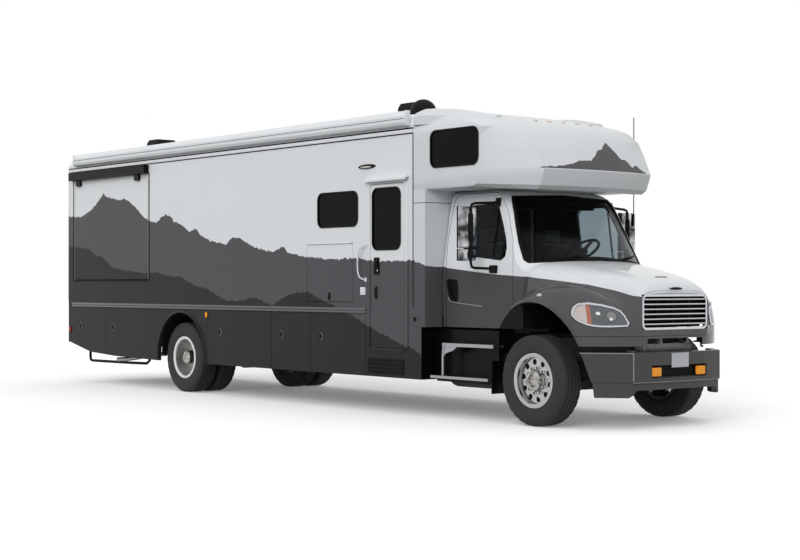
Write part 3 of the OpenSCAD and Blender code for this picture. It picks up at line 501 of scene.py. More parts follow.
MATERIALS = {
    "side": livery("side_paint", COACH_INSIDE),
    "rear": livery("rear_paint", wrap=True),
    "room": livery("room_paint", dark=topper),
    # The cab's wheel well and the space below the hood are painted black: painted shadow.
    "cab": livery("cab_paint", CAB_INSIDE, dark=wheel_well_shadow, grey=CAB_GREY, jagged=CALM),
    "cab_door": livery("cab_door_paint", CAB_INSIDE, grey=CAB_GREY, jagged=CALM),
    # Painted shade on the hood: a dark line in its lower crease, and the shaded white.
    "hood": livery("hood_paint", ENGINE_BAY, dark=hood_crease_shade, grey=CAB_GREY, gloss=0.6, jagged=CALM,
                   white=SHADED_WHITE),
    "cap": cap_material(),
    "skirt": livery("skirt_paint", dark=behind_steps),
    "white": plain_paint("white_gloss", WHITE, 0.28, 0.4),
    "bumper": plain_paint("bumper_paint", (68, 67, 65), 0.34, 0.46, 0.3),
    # Pale paint for lines along the bumper's edges: painted highlights.
    "bumper_highlight": plain_paint("bumper_edge_paint", (150, 148, 146), 0.3, 0.4, 0.3),
    # Light grey for the door creases: a painted highlight.
    "crease": plain_paint("crease_highlight_paint", (128, 127, 130), 0.3, 0.4, 0.3),
    "belt": plain_paint("belt_paint", (96, 96, 100), 0.3, 0.4, 0.4),
    "black_paint": plain_paint("black_gloss", BLACK, 0.25, 0.4),
    "black": moulded("black_moulded", (18, 19, 20)),
    "seal": moulded("seal_rubber", (14, 14, 15), 0.55, 0.75, 300.0, 0.1),
    "trim": moulded("cab_trim", (26, 29, 30)),
    # Black for the wheels' hand-hole discs, a painted shade, and for the entry lock plate, its own colour.
    "hole": moulded("wheel_hole", (8, 8, 8)),
    "chrome": chrome(),
    "polished": chrome("polished_wheel", (176, 175, 174), 0.1, 0.22),
    # Mirror backs and hub caps carry painted reflections.
    "mirror_back": chrome_with_painted_reflections("mirror_back", 7.0, (196, 198, 201), (52, 54, 56)),
    "hub": chrome_with_painted_reflections("hub_chrome", 16.0, (190, 188, 184), (92, 88, 80)),
    "grille": grille_chrome(),
    "barrel": brushed("rim_barrel", (214, 214, 212), 0.3, 0.45),
    "satin": brushed("satin_aluminium", (158, 160, 163), 0.28, 0.42),
    "bracket": brushed("bracket_steel", (104, 105, 107), 0.35, 0.5),
    "tread": perforated(),
    "steel": underside("chassis_steel", (38, 39, 41)),
    "iron": underside("engine_iron", (58, 58, 58)),
    "glass": grained("privacy_glass", (9, 11, 13), (0.03, 0.08, 1.5), (0.3, 1.5), (1.4, 1.0, 0.05, 0.01),
                     Specular_IOR_Level=0.06),
    "windshield": clear_glass("windshield_glass", (172, 184, 188)),
    "door_glass": clear_glass("door_glass", (176, 186, 189)),
    "amber": lens("amber_lens", (255, 160, 0), 0.12),
    "red": lens("red_lens", (190, 26, 22), 0.1),
    "clear": lens("clear_lens", (226, 220, 212)),
    "cap_lens": lens("cap_lens", (232, 218, 196)),
    "headlamp": headlamp_glass(),
    "rubber": grained("tyre_rubber_dark", (45, 45, 47), (0.6, 0.8, 7.0), (0.18, 9.0),
                      (150.0, 4.0, 0.25, 0.0008), Specular_IOR_Level=0.35),
    "cloth": cloth("seat_cloth", (40, 41, 42)),
    "wood": wood_floor(),
}

NODE_MATERIALS = {
    "side": ["side_wall_right", "side_wall_left", "entry_door", "entertainment_hatch"],
    "rear": ["rear_wall"],
    "room": ["slideout_right", "slideout_left"],
    "cab": ["cab_shell"],
    "cab_door": ["cab_door_right", "cab_door_left"],
    "hood": ["hood"],
    "cap": ["front_cap"],
    "white": ["roof", "patio_awning"],
    "skirt": ["lower_skirts"] + [n for n in NODES if n.startswith("baggage_door")],
    "bumper": ["front_bumper"],
    "black": ["roof_units", "dashboard", "storage_bays"],
    "grille": ["grille"],
    "polished": [n for n in NODES if "_wheel" in n],
    "tread": ["cab_steps"],
    "steel": ["chassis_frame", "hitch_receiver", "front_axle", "rear_axle", "leaf_springs", "drive_shaft",
              "fuel_tank", "steering_knuckle_right", "steering_knuckle_left"],
    "iron": ["engine_block"],
    "glass": ["coach_windows", "entry_door_window"],
    "windshield": ["windshield"],
    "door_glass": ["cab_door_glass_right", "cab_door_glass_left"],
    "headlamp": ["headlamps"],
    "rubber": [n for n in NODES if "_tyre" in n],
    "cloth": ["cab_seats"],
    "trim": ["mirror_right", "mirror_left"],
    "wood": ["coach_floor", "entry_steps"],
}
SOFT_NODES = ("hood", "front_cap", "cab_shell", "windshield", "headlamps", "roof", "roof_units",
              "patio_awning")
SHARP_ANGLE = math.radians(28)


def soften_group():
    """Geometry nodes that shade a faceted mesh smoothly, apart from its sharp edges."""
    group = bpy.data.node_groups.new("soften", "GeometryNodeTree")
    for way in ("INPUT", "OUTPUT"):
        group.interface.new_socket("Geometry", in_out=way, socket_type="NodeSocketGeometry")
    make, link = group.nodes.new, group.links.new
    start, end = make("NodeGroupInput"), make("NodeGroupOutput")
    merge, smooth = make("GeometryNodeMergeByDistance"), make("GeometryNodeSetShadeSmooth")
    split, angle = make("GeometryNodeSplitEdges"), make("GeometryNodeInputMeshEdgeAngle")
    sharp = make("ShaderNodeMath")
    merge.inputs["Distance"].default_value = 0.0002
    sharp.operation = "GREATER_THAN"
    sharp.inputs[1].default_value = SHARP_ANGLE
    link(start.outputs[0], merge.inputs["Geometry"])
    link(merge.outputs["Geometry"], smooth.inputs["Geometry"])
    link(smooth.outputs["Geometry"], split.inputs["Mesh"])
    link(angle.outputs["Unsigned Angle"], sharp.inputs[0])
    link(sharp.outputs[0], split.inputs["Selection"])
    link(split.outputs["Mesh"], end.inputs[0])
    return group


SOFTEN = soften_group()
for key, names in NODE_MATERIALS.items():
    for node_name in names:
        NODES[node_name].data.materials.clear()
        NODES[node_name].data.materials.append(MATERIALS[key])
for node_name, node in NODES.items():
    if node_name in SOFT_NODES or "wheel" in node_name or "cab_door" in node_name:
        node.modifiers.new("soften", "NODES").node_group = SOFTEN

# ---------- piece building ----------


class Piece:
    """Gathers shapes into one mesh, in the row frame."""

    def __init__(self, name):
        self.name = name
        self.mesh = bmesh.new()

    def row(self, points):
        """Adds vertices and returns them."""
        return [self.mesh.verts.new(p) for p in points]

    def skin(self, rows, ring=True, loop=False):
        """Faces between rows of vertices. ring joins each row's ends; loop joins last row and first."""
        for one, two in zip(rows, rows[1:] + rows[:1] if loop else rows[1:]):
            for j in range(len(one) if ring else len(one) - 1):
                k = (j + 1) % len(one)
                self.mesh.faces.new((one[j], two[j], two[k], one[k]))

    def ends(self, first, last):
        """Closes both ends of a skin."""
        self.mesh.faces.new(list(reversed(first)))
        self.mesh.faces.new(last)

    def box(self, low, high, bevel=0.003):
        """Box with rounded edges, between two corners."""
        low, high = Vector(map(min, low, high)), Vector(map(max, low, high))
        made = bmesh.ops.create_cube(self.mesh, size=1.0)["verts"]
        for v in made:
            v.co = Vector(((high[i] - low[i]) * v.co[i] + (high[i] + low[i]) / 2 for i in range(3)))
        if bevel:
            edges = list({e for v in made for e in v.link_edges})
            bmesh.ops.bevel(self.mesh, geom=edges, offset=bevel, segments=2, affect="EDGES", profile=0.7)
        return self

    def wall_box(self, side, x, out, z, bevel):
        """Box on a side wall: ranges of x, of the distance out from the wall, and of z."""
        return self.box(*[(x[i], side * (WALL_Y + out[i]), z[i]) for i in (0, 1)], bevel)

    def lathe(self, profile, centre, axis, count=48, close=True):
        """Turns a profile of (along the axis, radius) about an axis through centre."""
        axis = Vector(axis).normalized()
        side = axis.orthogonal().normalized()
        other = axis.cross(side)
        rows = []
        for a in turn_angles(count):
            out = side * math.cos(a) + other * math.sin(a)
            rows.append(self.row(Vector(centre) + axis * h + out * r for h, r in profile))
        self.skin(rows, ring=False, loop=True)
        if close:
            self.ends([r[0] for r in rows], [r[-1] for r in rows])
        return self

    def tube(self, path, radius, count=12, closed=False):
        """Round tube along a list of points."""
        path = [Vector(p) for p in path]
        rows, up = [], None
        for i, p in enumerate(path):
            before = path[i - 1] if (i or closed) else p
            after = path[(i + 1) % len(path)] if (i < len(path) - 1 or closed) else p
            ahead = (after - before).normalized()
            up = ahead.orthogonal() if up is None else up - ahead * up.dot(ahead)
            up.normalize()
            over = ahead.cross(up)
            rows.append(self.row(p + (up * math.cos(a) + over * math.sin(a)) * radius
                                 for a in turn_angles(count)))
        self.skin(rows, loop=closed)
        if not closed:
            self.ends(rows[0], rows[-1])
        return self

    def band(self, outer, inner, depth):
        """Ring between two outlines of the same number of points, as deep as the depth vector."""
        near, far = Vector((0, 0, 0)), Vector(depth)
        corners = ((outer, near), (outer, far), (inner, far), (inner, near))
        self.skin([self.row(Vector(p) + d for p in line) for line, d in corners], loop=True)
        return self

    def wall_ring(self, side, opening, radius, lift, grow, thick):
        """Flat ring round an opening of a side wall, between two grown outlines of it."""
        y = side * (WALL_Y + lift)
        return self.band(*[rounded(*opening, radius, y, g) for g in grow], (0, side * thick, 0))

    def slab(self, outline, depth):
        """Solid from a flat outline of points, as deep as the depth vector."""
        rows = [self.row(outline), self.row(Vector(p) + Vector(depth) for p in outline)]
        self.skin(rows)
        self.ends(*rows)
        return self

    def dome(self, centre, radii):
        """Ellipsoid, of which the surface it sits on hides one half."""
        for v in bmesh.ops.create_uvsphere(self.mesh, u_segments=28, v_segments=20, radius=1.0)["verts"]:
            v.co = Vector((centre[i] + radii[i] * v.co[i] for i in range(3)))
        return self

    def done(self, material="black", body="coach", slot=None, smooth=35, subdivide=0):
        """Makes the object, shades it and lets it ride on its body."""
        bmesh.ops.recalc_face_normals(self.mesh, faces=self.mesh.faces)
        for edge in self.mesh.edges:
            edge.smooth = len(edge.link_faces) == 2 and edge.calc_face_angle(0.0) < math.radians(smooth)
        for face in self.mesh.faces:
            face.smooth = True
        data = bpy.data.meshes.new(self.name)
        self.mesh.to_mesh(data)
        self.mesh.free()
        data.materials.append(MATERIALS[material])
        made = bpy.data.objects.new(self.name, data)
        bpy.context.scene.collection.objects.link(made)
        if subdivide:
            made.modifiers.new("round", "SUBSURF").levels = subdivide
            made.modifiers["round"].render_levels = subdivide
        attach(made, body)
        return made


def turn_angles(count):
    """Evenly spaced angles of a full turn."""
    return [2 * math.pi * i / count for i in range(count)]


def polar(x, y, z, radius, angle):
    """Point at an angle on a circle round (x, z), in the X-Z plane at y."""
    return (x + radius * math.cos(angle), y, z + radius * math.sin(angle))


def rounded(x0, x1, z0, z1, r, y, grow=0.0, steps=6):
    """Rounded rectangle in an X-Z plane at y, its points in order."""
    x0, x1, z0, z1, r = x0 - grow, x1 + grow, z0 - grow, z1 + grow, max(r + grow, 0.002)
    corners = ((x1 - r, z1 - r, 0), (x0 + r, z1 - r, 90), (x0 + r, z0 + r, 180), (x1 - r, z0 + r, 270))
    return [polar(cx, y, cz, r, math.radians(start + 90 * i / steps))
            for cx, cz, start in corners for i in range(steps + 1)]


def chain(points, steps=4):
    """Smooth closed line through points."""
    out = []
    for i in range(len(points)):
        a, b, c, d = (Vector(points[(i + k) % len(points)]) for k in (-1, 0, 1, 2))
        for t in (k / steps for k in range(steps)):
            out.append(0.5 * (2 * b + (c - a) * t + (2 * a - 5 * b + 4 * c - d) * t * t
                              + (3 * b - a - 3 * c + d) * t * t * t))
    return out


def hits(node, origins, direction):
    """Where rays from the origins first meet a CAD node; rays that miss it are left out."""
    found = [NODES[node].ray_cast(Vector(p), Vector(direction))[:2] for p in origins]
    return [place for hit, place in found if hit]


# ---------- tyres and wheels ----------

TREAD_HALF = 0.118
GROOVES = (-0.078, -0.027, 0.027, 0.078)
SHOULDER_NOTCH = 0.007
NUT_RING, NUT_SIZE, NUT_LENGTH = 0.1425, 0.0165, 0.045
HOLE_RING = 0.214
RIM_LIP = [(0.131, 0.276), (0.131, 0.303), (0.126, 0.309), (0.11, 0.29)]
FRONT_RIM = [(0.096, 0.258), (0.122, 0.262), *RIM_LIP, (0.06, 0.284)]
REAR_RIM = [(-0.094, 0.17), (-0.09, 0.246), (-0.02, 0.25), (0.06, 0.254), (0.118, 0.262), *RIM_LIP]
FRONT_HUB = [(0.05, 0.122), (0.075, 0.121), (0.08, 0.112), (0.126, 0.108), (0.134, 0.1), (0.137, 0.076),
             (0.146, 0.066), (0.16, 0.06), (0.166, 0.046), (0.167, 0.001)]
REAR_HUB = [(-0.092, 0.118), (-0.06, 0.116), (-0.052, 0.1), (0.05, 0.097), (0.092, 0.096), (0.098, 0.09),
            (0.103, 0.06), (0.104, 0.001)]


def tyre_profile():
    """Section of a tyre from bead to bead, as (across, radius, shoulder flag)."""
    sidewall = [(0.037, 0.001), (0.029, 0.02), (0.013, 0.033), (0.005, 0.048), (0.002, 0.085), (0.0, 0.115),
                (0.002, 0.145), (0.006, 0.168), (0.004, 0.172)]
    w = TYRE_W / 2
    side = [(-w + a, BEAD_R + r, 0) for a, r in sidewall]
    side += [(-w + 0.012, TYRE_R - 0.034, 1), (-w + 0.02, TYRE_R - 0.012, 1),
             (-TREAD_HALF, TYRE_R - 0.006, 1), (-TREAD_HALF + 0.012, TYRE_R - 0.002, 1)]
    tread = []
    for g in GROOVES:
        crown = TYRE_R - 0.0015 * (abs(g) / TREAD_HALF) ** 2
        tread += [(g + a, crown - deep, 0)
                  for a, deep in ((-0.0055, 0), (-0.0035, 0.012), (0.0035, 0.012), (0.0055, 0))]
    return side + tread + [(-a, r, f) for a, r, f in reversed(side)]


def tyre(piece, centre, side, count=150):
    """Tyre with four grooves and a row of blocks on each shoulder."""
    x, y, z = centre
    rows = []
    for i, a in enumerate(turn_angles(count)):
        notch = 0.0 if i % 5 else SHOULDER_NOTCH
        rows.append(piece.row(polar(x, y + across * side, z, r - notch * shoulder, a)
                              for across, r, shoulder in tyre_profile()))
    piece.skin(rows, loop=True)


def lug_nuts(name, centre, side, out, body):
    """Ten capped nuts in a ring, their bases at out from the rim's middle."""
    x, y, z = centre
    profile = [(0, NUT_SIZE * 1.25), (0.008, NUT_SIZE * 1.25), (0.01, NUT_SIZE),
               (NUT_LENGTH * 0.7, NUT_SIZE * 0.92), (NUT_LENGTH * 0.92, NUT_SIZE * 0.65),
               (NUT_LENGTH, NUT_SIZE * 0.2)]
    piece = Piece(name)
    for k in range(10):
        place = polar(x, y + side * out, z, NUT_RING, math.radians(8 + 36 * k))
        piece.lathe(profile, place, (0, side, 0), 12)
    piece.done("chrome", body)


def front_wheels():
    """Tyres, nuts, hub caps, hand holes and rim edges of the steered wheels; black discs in the hand holes
    are painted shade.
    """
    for word, side in SIDES:
        y = middle(f"front_tyre_{word}", 1)
        centre, axis, body = (FRONT_X, y, WHEEL_Z), (0, side, 0), f"wheel_front_{word}"
        piece = Piece(f"front_tyre_tread_{word}")
        tyre(piece, centre, side)
        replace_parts(piece.done("rubber", body, smooth=40), f"front_tyre_{word}")
        lug_nuts(f"front_wheel_nuts_{word}", centre, side, 0.0695, body)
        Piece(f"front_hub_cap_{word}").lathe(FRONT_HUB, centre, axis, 48).done("hub", body)
        # Black discs in the hand holes: painted shade of the wheel's inside.
        holes = Piece(f"front_wheel_holes_{word}")
        for k in range(10):
            place = polar(FRONT_X, y, WHEEL_Z, HOLE_RING, math.radians(-10 - 36 * k))
            holes.lathe([(0.0703, 0.029), (0.0712, 0.028), (0.0706, 0.001)], place, axis, 28)
        holes.done("hole", body)
        Piece(f"front_rim_edge_{word}").lathe(FRONT_RIM, centre, axis, 96, False).done("polished", body)


def rear_wheels():
    """Twin tyres, nuts, hubs and deep rims of the driven wheels."""
    for word, side in SIDES:
        low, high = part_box(f"rear_tyres_{word}")
        inner, outer = sorted((low.y + TYRE_W / 2, high.y - TYRE_W / 2), key=abs)
        body = f"wheels_rear_{word}"
        piece = Piece(f"rear_tyre_treads_{word}")
        for y in (outer, inner):
            tyre(piece, (REAR_AXLE_X, y, WHEEL_Z), side)
        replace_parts(piece.done("rubber", body, smooth=40), f"rear_tyres_{word}")
        centre, axis = (REAR_AXLE_X, outer, WHEEL_Z), (0, side, 0)
        lug_nuts(f"rear_wheel_nuts_{word}", centre, side, -0.091, body)
        Piece(f"rear_hub_{word}").lathe(REAR_HUB, centre, axis, 40).done("hub", body)
        Piece(f"rear_rim_edge_{word}").lathe(REAR_RIM, centre, axis, 96, False).done("barrel", body)


# ---------- coach sides; an opening is (x0, x1, z0, z1) ----------

SIDE_WINDOW = (0.979, 1.832, 2.303, 2.744)
LEFT_WINDOW = (-2.6, -1.4, 2.2, 2.86)
CAP_WINDOW = (3.24, 4.09, 2.947, 3.383)
ENTRY_GLASS = (2.125, 2.681, 1.998, 2.757)
ENTRY = (2.09, 2.74, 0.8, 2.8)
ROOM = (-5.75, -3.36, 1.65, 3.243)
LOUVRE = (2.05, 2.735, 0.478, 0.668)
LATCH_Z = 0.905
FLARE_FOOT_Z = 0.452
GUARD_Y = -1.0
BELT_X = (-5.8, 2.0)
BAY_LATCHES = {"right": {1: [-5.53], 2: [-4.44], 3: [-1.37], 4: [0.15], 5: [1.04]},
               "left": {1: [-5.5, -3.6], 2: [-1.3], 3: [0.5]}}


def window_frame(name, opening, side, body="coach"):
    """Black frame clamped round a window, standing a little proud of the wall."""
    Piece(name).wall_ring(side, opening, 0.095, 0.0045, (0.006, -0.014), 0.005).done("seal", body)


def window_frames():
    for word, side in SIDES:
        window_frame(f"window_frame_{word}", SIDE_WINDOW, side)
        window_frame(f"cap_window_frame_{word}", CAP_WINDOW, side)
    window_frame("large_window_frame_left", LEFT_WINDOW, 1)
    window_frame("entry_window_frame", ENTRY_GLASS, -1, "entry")


def side_trim():
    """Belt mouldings, gutter rails, corner strips and slide-out flanges of both sides."""
    roof_x = (REAR_X + 0.02, SEAM_X)
    for word, side in SIDES:
        belt = Piece(f"belt_moulding_{word}")
        belt.wall_box(side, BELT_X, (0.001, 0.014), (1.218, 1.244), 0.005)
        belt.wall_box(side, BELT_X, (0.001, 0.018), (1.25, 1.282), 0.005).done("belt")
        rail = Piece(f"gutter_rail_{word}").wall_box(side, roof_x, (0.001, 0.02), (3.392, 3.436), 0.006)
        rail.done("white")
        line = Piece(f"gutter_shadow_{word}")
        line.wall_box(side, roof_x, (0.0005, 0.008), (3.437, 3.456), 0.002)
        line.wall_box(side, roof_x, (0.0005, 0.006), (3.38, 3.391), 0.002).done("seal")
        for tag, x, material in (("rear", (REAR_X - 0.001, REAR_X + 0.035), "side"),
                                 ("cap", (SEAM_X - 0.01, SEAM_X + 0.004), "seal")):
            strip = Piece(f"{tag}_corner_strip_{word}")
            strip.wall_box(side, x, (0.0005, 0.004), (1.3, 3.385), 0.0015).done(material, slot="body_white")
        flange = Piece(f"room_flange_{word}").wall_ring(side, ROOM, 0.01, 0.0006, (-0.006, -0.03), 0.007)
        flange.done("side", f"room_{word}")
        seal = Piece(f"room_seal_{word}").wall_ring(side, ROOM, 0.02, 0.0006, (0.03, 0.01), 0.004)
        seal.done("seal")


def awning_details():
    """End caps and lid line of the patio awning on the right."""
    low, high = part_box("patio_awning")
    caps = Piece("awning_end_caps")
    for x in (low.x - 0.012, high.x):
        caps.box((x, low.y + 0.004, low.z + 0.012), (x + 0.012, -WALL_Y - 0.002, high.z - 0.004), 0.005)
    caps.done("white")
    lid = Piece("awning_lid_line")
    lid.box((low.x + 0.01, low.y - 0.002, 3.56), (high.x - 0.01, low.y + 0.006, 3.566), 0.001).done("seal")


def bay_latches():
    """Round paddle latches with a raised pull and a chrome ring."""
    paddle = [(0, 0.048), (0.005, 0.048), (0.008, 0.041), (0.008, 0.03), (0.004, 0.026), (0.004, 0.001)]
    edge = [(0.001, 0.0485), (0.0065, 0.0505), (0.008, 0.0485)]
    for word, side in SIDES:
        for number, places in BAY_LATCHES[word].items():
            latch, ring = Piece(f"bay_latch_{word}_{number}"), Piece(f"bay_latch_ring_{word}_{number}")
            for x in places:
                centre = (x, side * WALL_Y, LATCH_Z)
                latch.lathe(paddle, centre, (0, side, 0), 24)
                pull_z = (LATCH_Z - 0.03, LATCH_Z + 0.016)
                latch.wall_box(side, (x - 0.012, x + 0.012), (0.003, 0.012), pull_z, 0.004)
                ring.lathe(edge, centre, (0, side, 0), 28, False)
            latch.done("black_paint", f"bay_door_{word}_{number}")
            ring.done("chrome", f"bay_door_{word}_{number}")


def entry_fittings():
    """Frame, hinge cover, drip cap, lock, handles and light of the entry door."""
    y = -WALL_Y
    Piece("entry_frame").wall_ring(-1, ENTRY, 0.03, 0.0006, (0.05, 0.015), 0.006).done("side")
    hinge = Piece("entry_hinge_cover")
    hinge.wall_box(-1, (ENTRY[1] + 0.052, ENTRY[1] + 0.085), (0.001, 0.012), (0.8, 2.8), 0.004).done("side")
    profile = [(0.001, 2.89), (0.03, 2.884), (0.06, 2.866), (0.064, 2.848), (0.06, 2.834), (0.054, 2.846),
               (0.03, 2.862), (0.001, 2.866)]
    Piece("entry_drip_cap").slab([(2.015, y - a, b) for a, b in profile], (0.82, 0, 0)).done("white")
    plate = Piece("entry_lock_plate").wall_box(-1, (2.165, 2.268), (0.001, 0.01), (1.7, 1.905), 0.012)
    plate.wall_box(-1, (2.182, 2.25), (0.01, 0.03), (1.79, 1.86), 0.008)
    plate.done("hole", "entry", "black_plastic")
    profile = [(0.008, 0.011), (0.013, 0.011), (0.014, 0.009), (0.014, 0.001)]
    key = Piece("entry_lock_cylinders").lathe(profile, (2.236, y, 1.745), (0, -1, 0), 20)
    key.done("chrome", "entry")
    pull = Piece("entry_small_handle").wall_box(-1, (2.192, 2.224), (0.001, 0.006), (1.392, 1.552), 0.005)
    bow = ((0.004, 1.405), (0.026, 1.425), (0.03, 1.475), (0.026, 1.522), (0.004, 1.54))
    pull.tube([(2.208, y - out, z) for out, z in bow], 0.007).done("black", "entry")
    grab = Piece("grab_handle")
    bow = ((1.985, 0.004, 2.052), (1.968, 0.035, 2.046), (1.935, 0.06, 2.018), (1.918, 0.068, 1.96),
           (1.914, 0.07, 1.84), (1.918, 0.068, 1.73), (1.94, 0.06, 1.665), (1.972, 0.035, 1.64),
           (1.988, 0.004, 1.634))
    grab.tube([(x, y - out, z) for x, out, z in bow], 0.013, 16)
    for z in (2.052, 1.634):
        grab.lathe([(0, 0.03), (0.006, 0.03), (0.012, 0.022), (0.014, 0.001)], (1.987, y, z), (0, -1, 0), 24)
    grab.done("chrome")
    outlet = Piece("outlet_cover").wall_box(-1, (1.895, 1.993), (0.001, 0.018), (1.442, 1.54), 0.007)
    outlet.wall_box(-1, (1.915, 1.973), (0.018, 0.026), (1.47, 1.528), 0.006).done("white")
    Piece("porch_light").dome((2.015, y, 3.035), (0.178, 0.03, 0.03)).done()
    Piece("porch_light_lens").dome((2.015, y - 0.016, 3.028), (0.115, 0.02, 0.014)).done("clear")
    hook = Piece("door_holdback").wall_box(-1, (2.925, 2.965), (0.001, 0.01), (1.135, 1.185), 0.004)
    hook.tube([(2.945, y - 0.008, 1.16), (2.96, y - 0.03, 1.16), (2.995, y - 0.042, 1.16)], 0.008).done()


def hatch_fittings():
    latch = Piece("hatch_latch").wall_box(-1, (1.212, 1.248), (0.001, 0.012), (1.375, 1.47), 0.006)
    latch.wall_box(-1, (1.219, 1.241), (0.012, 0.019), (1.385, 1.43), 0.004).done("black", "hatch")
    profile = [(0, 0.00425), (0.00075, 0.005), (0.93925, 0.005), (0.94, 0.00425)]
    hinge = Piece("hatch_hinge").lathe(profile, (0.76, -WALL_Y - 0.009, 2.094), (1, 0, 0), 16)
    hinge.done("side", slot="body_grey")


def louvre():
    """Vent grille low beside the entry door."""
    y = -WALL_Y
    x0, x1, z0, z1 = LOUVRE
    piece = Piece("side_vent_louvre").wall_ring(-1, LOUVRE, 0.012, 0.0006, (0.0, -0.022), 0.012)
    for z in (z0 + 0.03 + i * 0.048 for i in range(3)):
        blade = ((0.001, 0.028), (0.014, 0.0), (0.016, 0.006), (0.004, 0.034))
        piece.slab([(x0 + 0.02, y - out, z + up) for out, up in blade], (x1 - x0 - 0.04, 0, 0))
    piece.wall_box(-1, (x0 + 0.015, x1 - 0.015), (0.0005, 0.002), (z0 + 0.015, z1 - 0.015), 0.0).done()


def arch_trim():
    """Liner and moulded flare of each rear wheel arch."""
    cx, cz, r = ARCH_REAR
    section = [(0.002, 0.0005), (0.002, 0.0205), (0.01, 0.0245), (0.036, 0.0145), (0.05, 0.0005)]
    for word, side in SIDES:
        liner = Piece(f"arch_liner_{word}")
        depths = (WALL_Y - 0.042, 0.6)
        rows = [liner.row(polar(cx, side * y, cz, r - 0.006, math.pi * i / 30) for y in depths)
                for i in range(31)]
        liner.skin(rows, ring=False)
        liner.mesh.faces.new([row[1] for row in rows])
        liner.done()
        flare = Piece(f"arch_flare_{word}")
        rings = [[polar(cx, side * (WALL_Y + out), cz, r + grow, math.pi * i / 40) for grow, out in section]
                 for i in range(41)]
        feet = [[(p[0], p[1], FLARE_FOOT_Z) for p in rings[i]] for i in (0, -1)]
        rows = [flare.row(ring) for ring in (feet[0], *rings, feet[1])]
        flare.skin(rows)
        flare.ends(rows[-1], rows[0])
        flare.done("skirt")


def marker_lamps():
    for word, side in SIDES:
        for kind, x, z in (("amber", -1.72, 1.139), ("red", -5.875, 0.848)):
            base = Piece(f"side_marker_base_{kind}_{word}")
            base.wall_box(side, (x - 0.034, x + 0.034), (0, 0.006), (z - 0.052, z + 0.052), 0.003).done()
            lamp = Piece(f"side_marker_{kind}_{word}")
            lamp.dome((x, side * (WALL_Y + 0.004), z), (0.028, 0.018, 0.046)).done(kind)


def rear_details():
    """Tail lamps, plate, markers and the guard bar below the rear."""
    x = REAR_X
    lamps = (("brake", 1.275, 1.445, "red"), ("turn", 1.09, 1.26, "amber"), ("reverse", 0.9, 1.075, "clear"))
    for word, side in SIDES:
        base = Piece(f"tail_lamp_base_{word}")
        base.box((x + 0.001, side * 1.075, 0.88), (x - 0.006, side * 1.215, 1.46), 0.004).done()
        for tag, z0, z1, kind in lamps:
            lamp = Piece(f"tail_lamp_{tag}_{word}")
            lamp.box((x - 0.005, side * 1.087, z0), (x - 0.014, side * 1.203, z1), 0.004).done(kind)
    marks = Piece("rear_marker_lamps")
    for y in (-1.1, -0.15, 0.0, 0.15, 1.1):
        marks.dome((x, y, 3.36), (0.012, 0.035, 0.015))
    marks.done("red")
    Piece("rear_cover_panel").box((x + 0.001, -1.02, 0.655), (x - 0.012, 1.02, 0.83), 0.005).done("skirt")
    Piece("rear_plate_blank").box((x - 0.002, -0.155, 1.02), (x - 0.007, 0.155, 1.175), 0.003).done("satin")
    bar = ((-5.72, 0.66), (-5.73, 0.4), (-5.71, 0.345), (-5.66, 0.335), (-4.4, 0.345), (-3.9, 0.355),
           (-3.82, 0.4), (-3.8, 0.66))
    Piece("rear_guard_bar").tube([(a, GUARD_Y, z) for a, z in bar], 0.022).done()
    path = [(-3.7, -0.78, 0.5), (-4.1, -0.84, 0.47), (-4.35, -0.92, 0.42), (-4.5, -1.02, 0.4),
            (-4.72, -1.05, 0.39)]
    Piece("tail_pipe").tube(path, 0.032, 20).done("satin")


def roof_details():
    """Clearance lamps on the cap, and the air conditioner."""
    lamps = Piece("cap_clearance_lamps")
    for p in hits("front_cap", [(4.15, y, 4.2) for y in (-0.46, -0.23, 0.0, 0.23, 0.46)], DOWN):
        lamps.dome((p.x, p.y, p.z + 0.002), (0.04, 0.026, 0.014))
    lamps.done("cap_lens")
    air = Piece("roof_air_conditioner").box((-1.55, -0.36, 3.66), (-0.55, 0.36, 3.84), 0.05)
    for z in (3.705 + i * 0.014 for i in range(7)):
        air.box((-1.56, -0.26, z), (-1.545, 0.26, z + 0.007), 0.002)
    air.done("white")


# ---------- cab ----------

SHIELD_HALF = [(0.0, 1.852), (0.5, 1.843), (0.88, 1.822), (0.935, 1.832), (0.946, 1.87), (0.932, 2.035),
               (0.893, 2.243), (0.832, 2.52), (0.81, 2.565), (0.765, 2.588), (0.4, 2.608), (0.0, 2.614)]
HANDLE = [(3.248, 1.628), (3.405, 1.628), (3.437, 1.6), (3.452, 1.52), (3.446, 1.42), (3.425, 1.372),
          (3.345, 1.378), (3.29, 1.41), (3.262, 1.5)]
LEVER = [(3.275, 0.004, 1.606), (3.285, 0.022, 1.59), (3.3, 0.03, 1.53), (3.33, 0.03, 1.46),
         (3.372, 0.022, 1.408), (3.395, 0.004, 1.396)]


def windshield_border():
    """Black band that lies on the windshield's curved edge."""
    outline = [(0, y, z) for y, z in SHIELD_HALF] + [(0, -y, z) for y, z in reversed(SHIELD_HALF[1:-1])]
    line = [Vector((0, p.y, p.z)) for p in chain(outline, 3)]
    centre = sum(line, Vector()) / len(line)

    def on_glass(p, spare):
        found = hits("windshield", [(FAR, p.y, p.z)], BACK)
        return found[0] + Vector((0.003, 0, 0)) if found else spare

    outer = [on_glass(p, p) for p in line]
    inner = [on_glass(p + (centre - p).normalized() * 0.045, q) for p, q in zip(line, outer)]
    Piece("windshield_border").band(outer, inner, (-0.008, 0, 0)).done("seal")


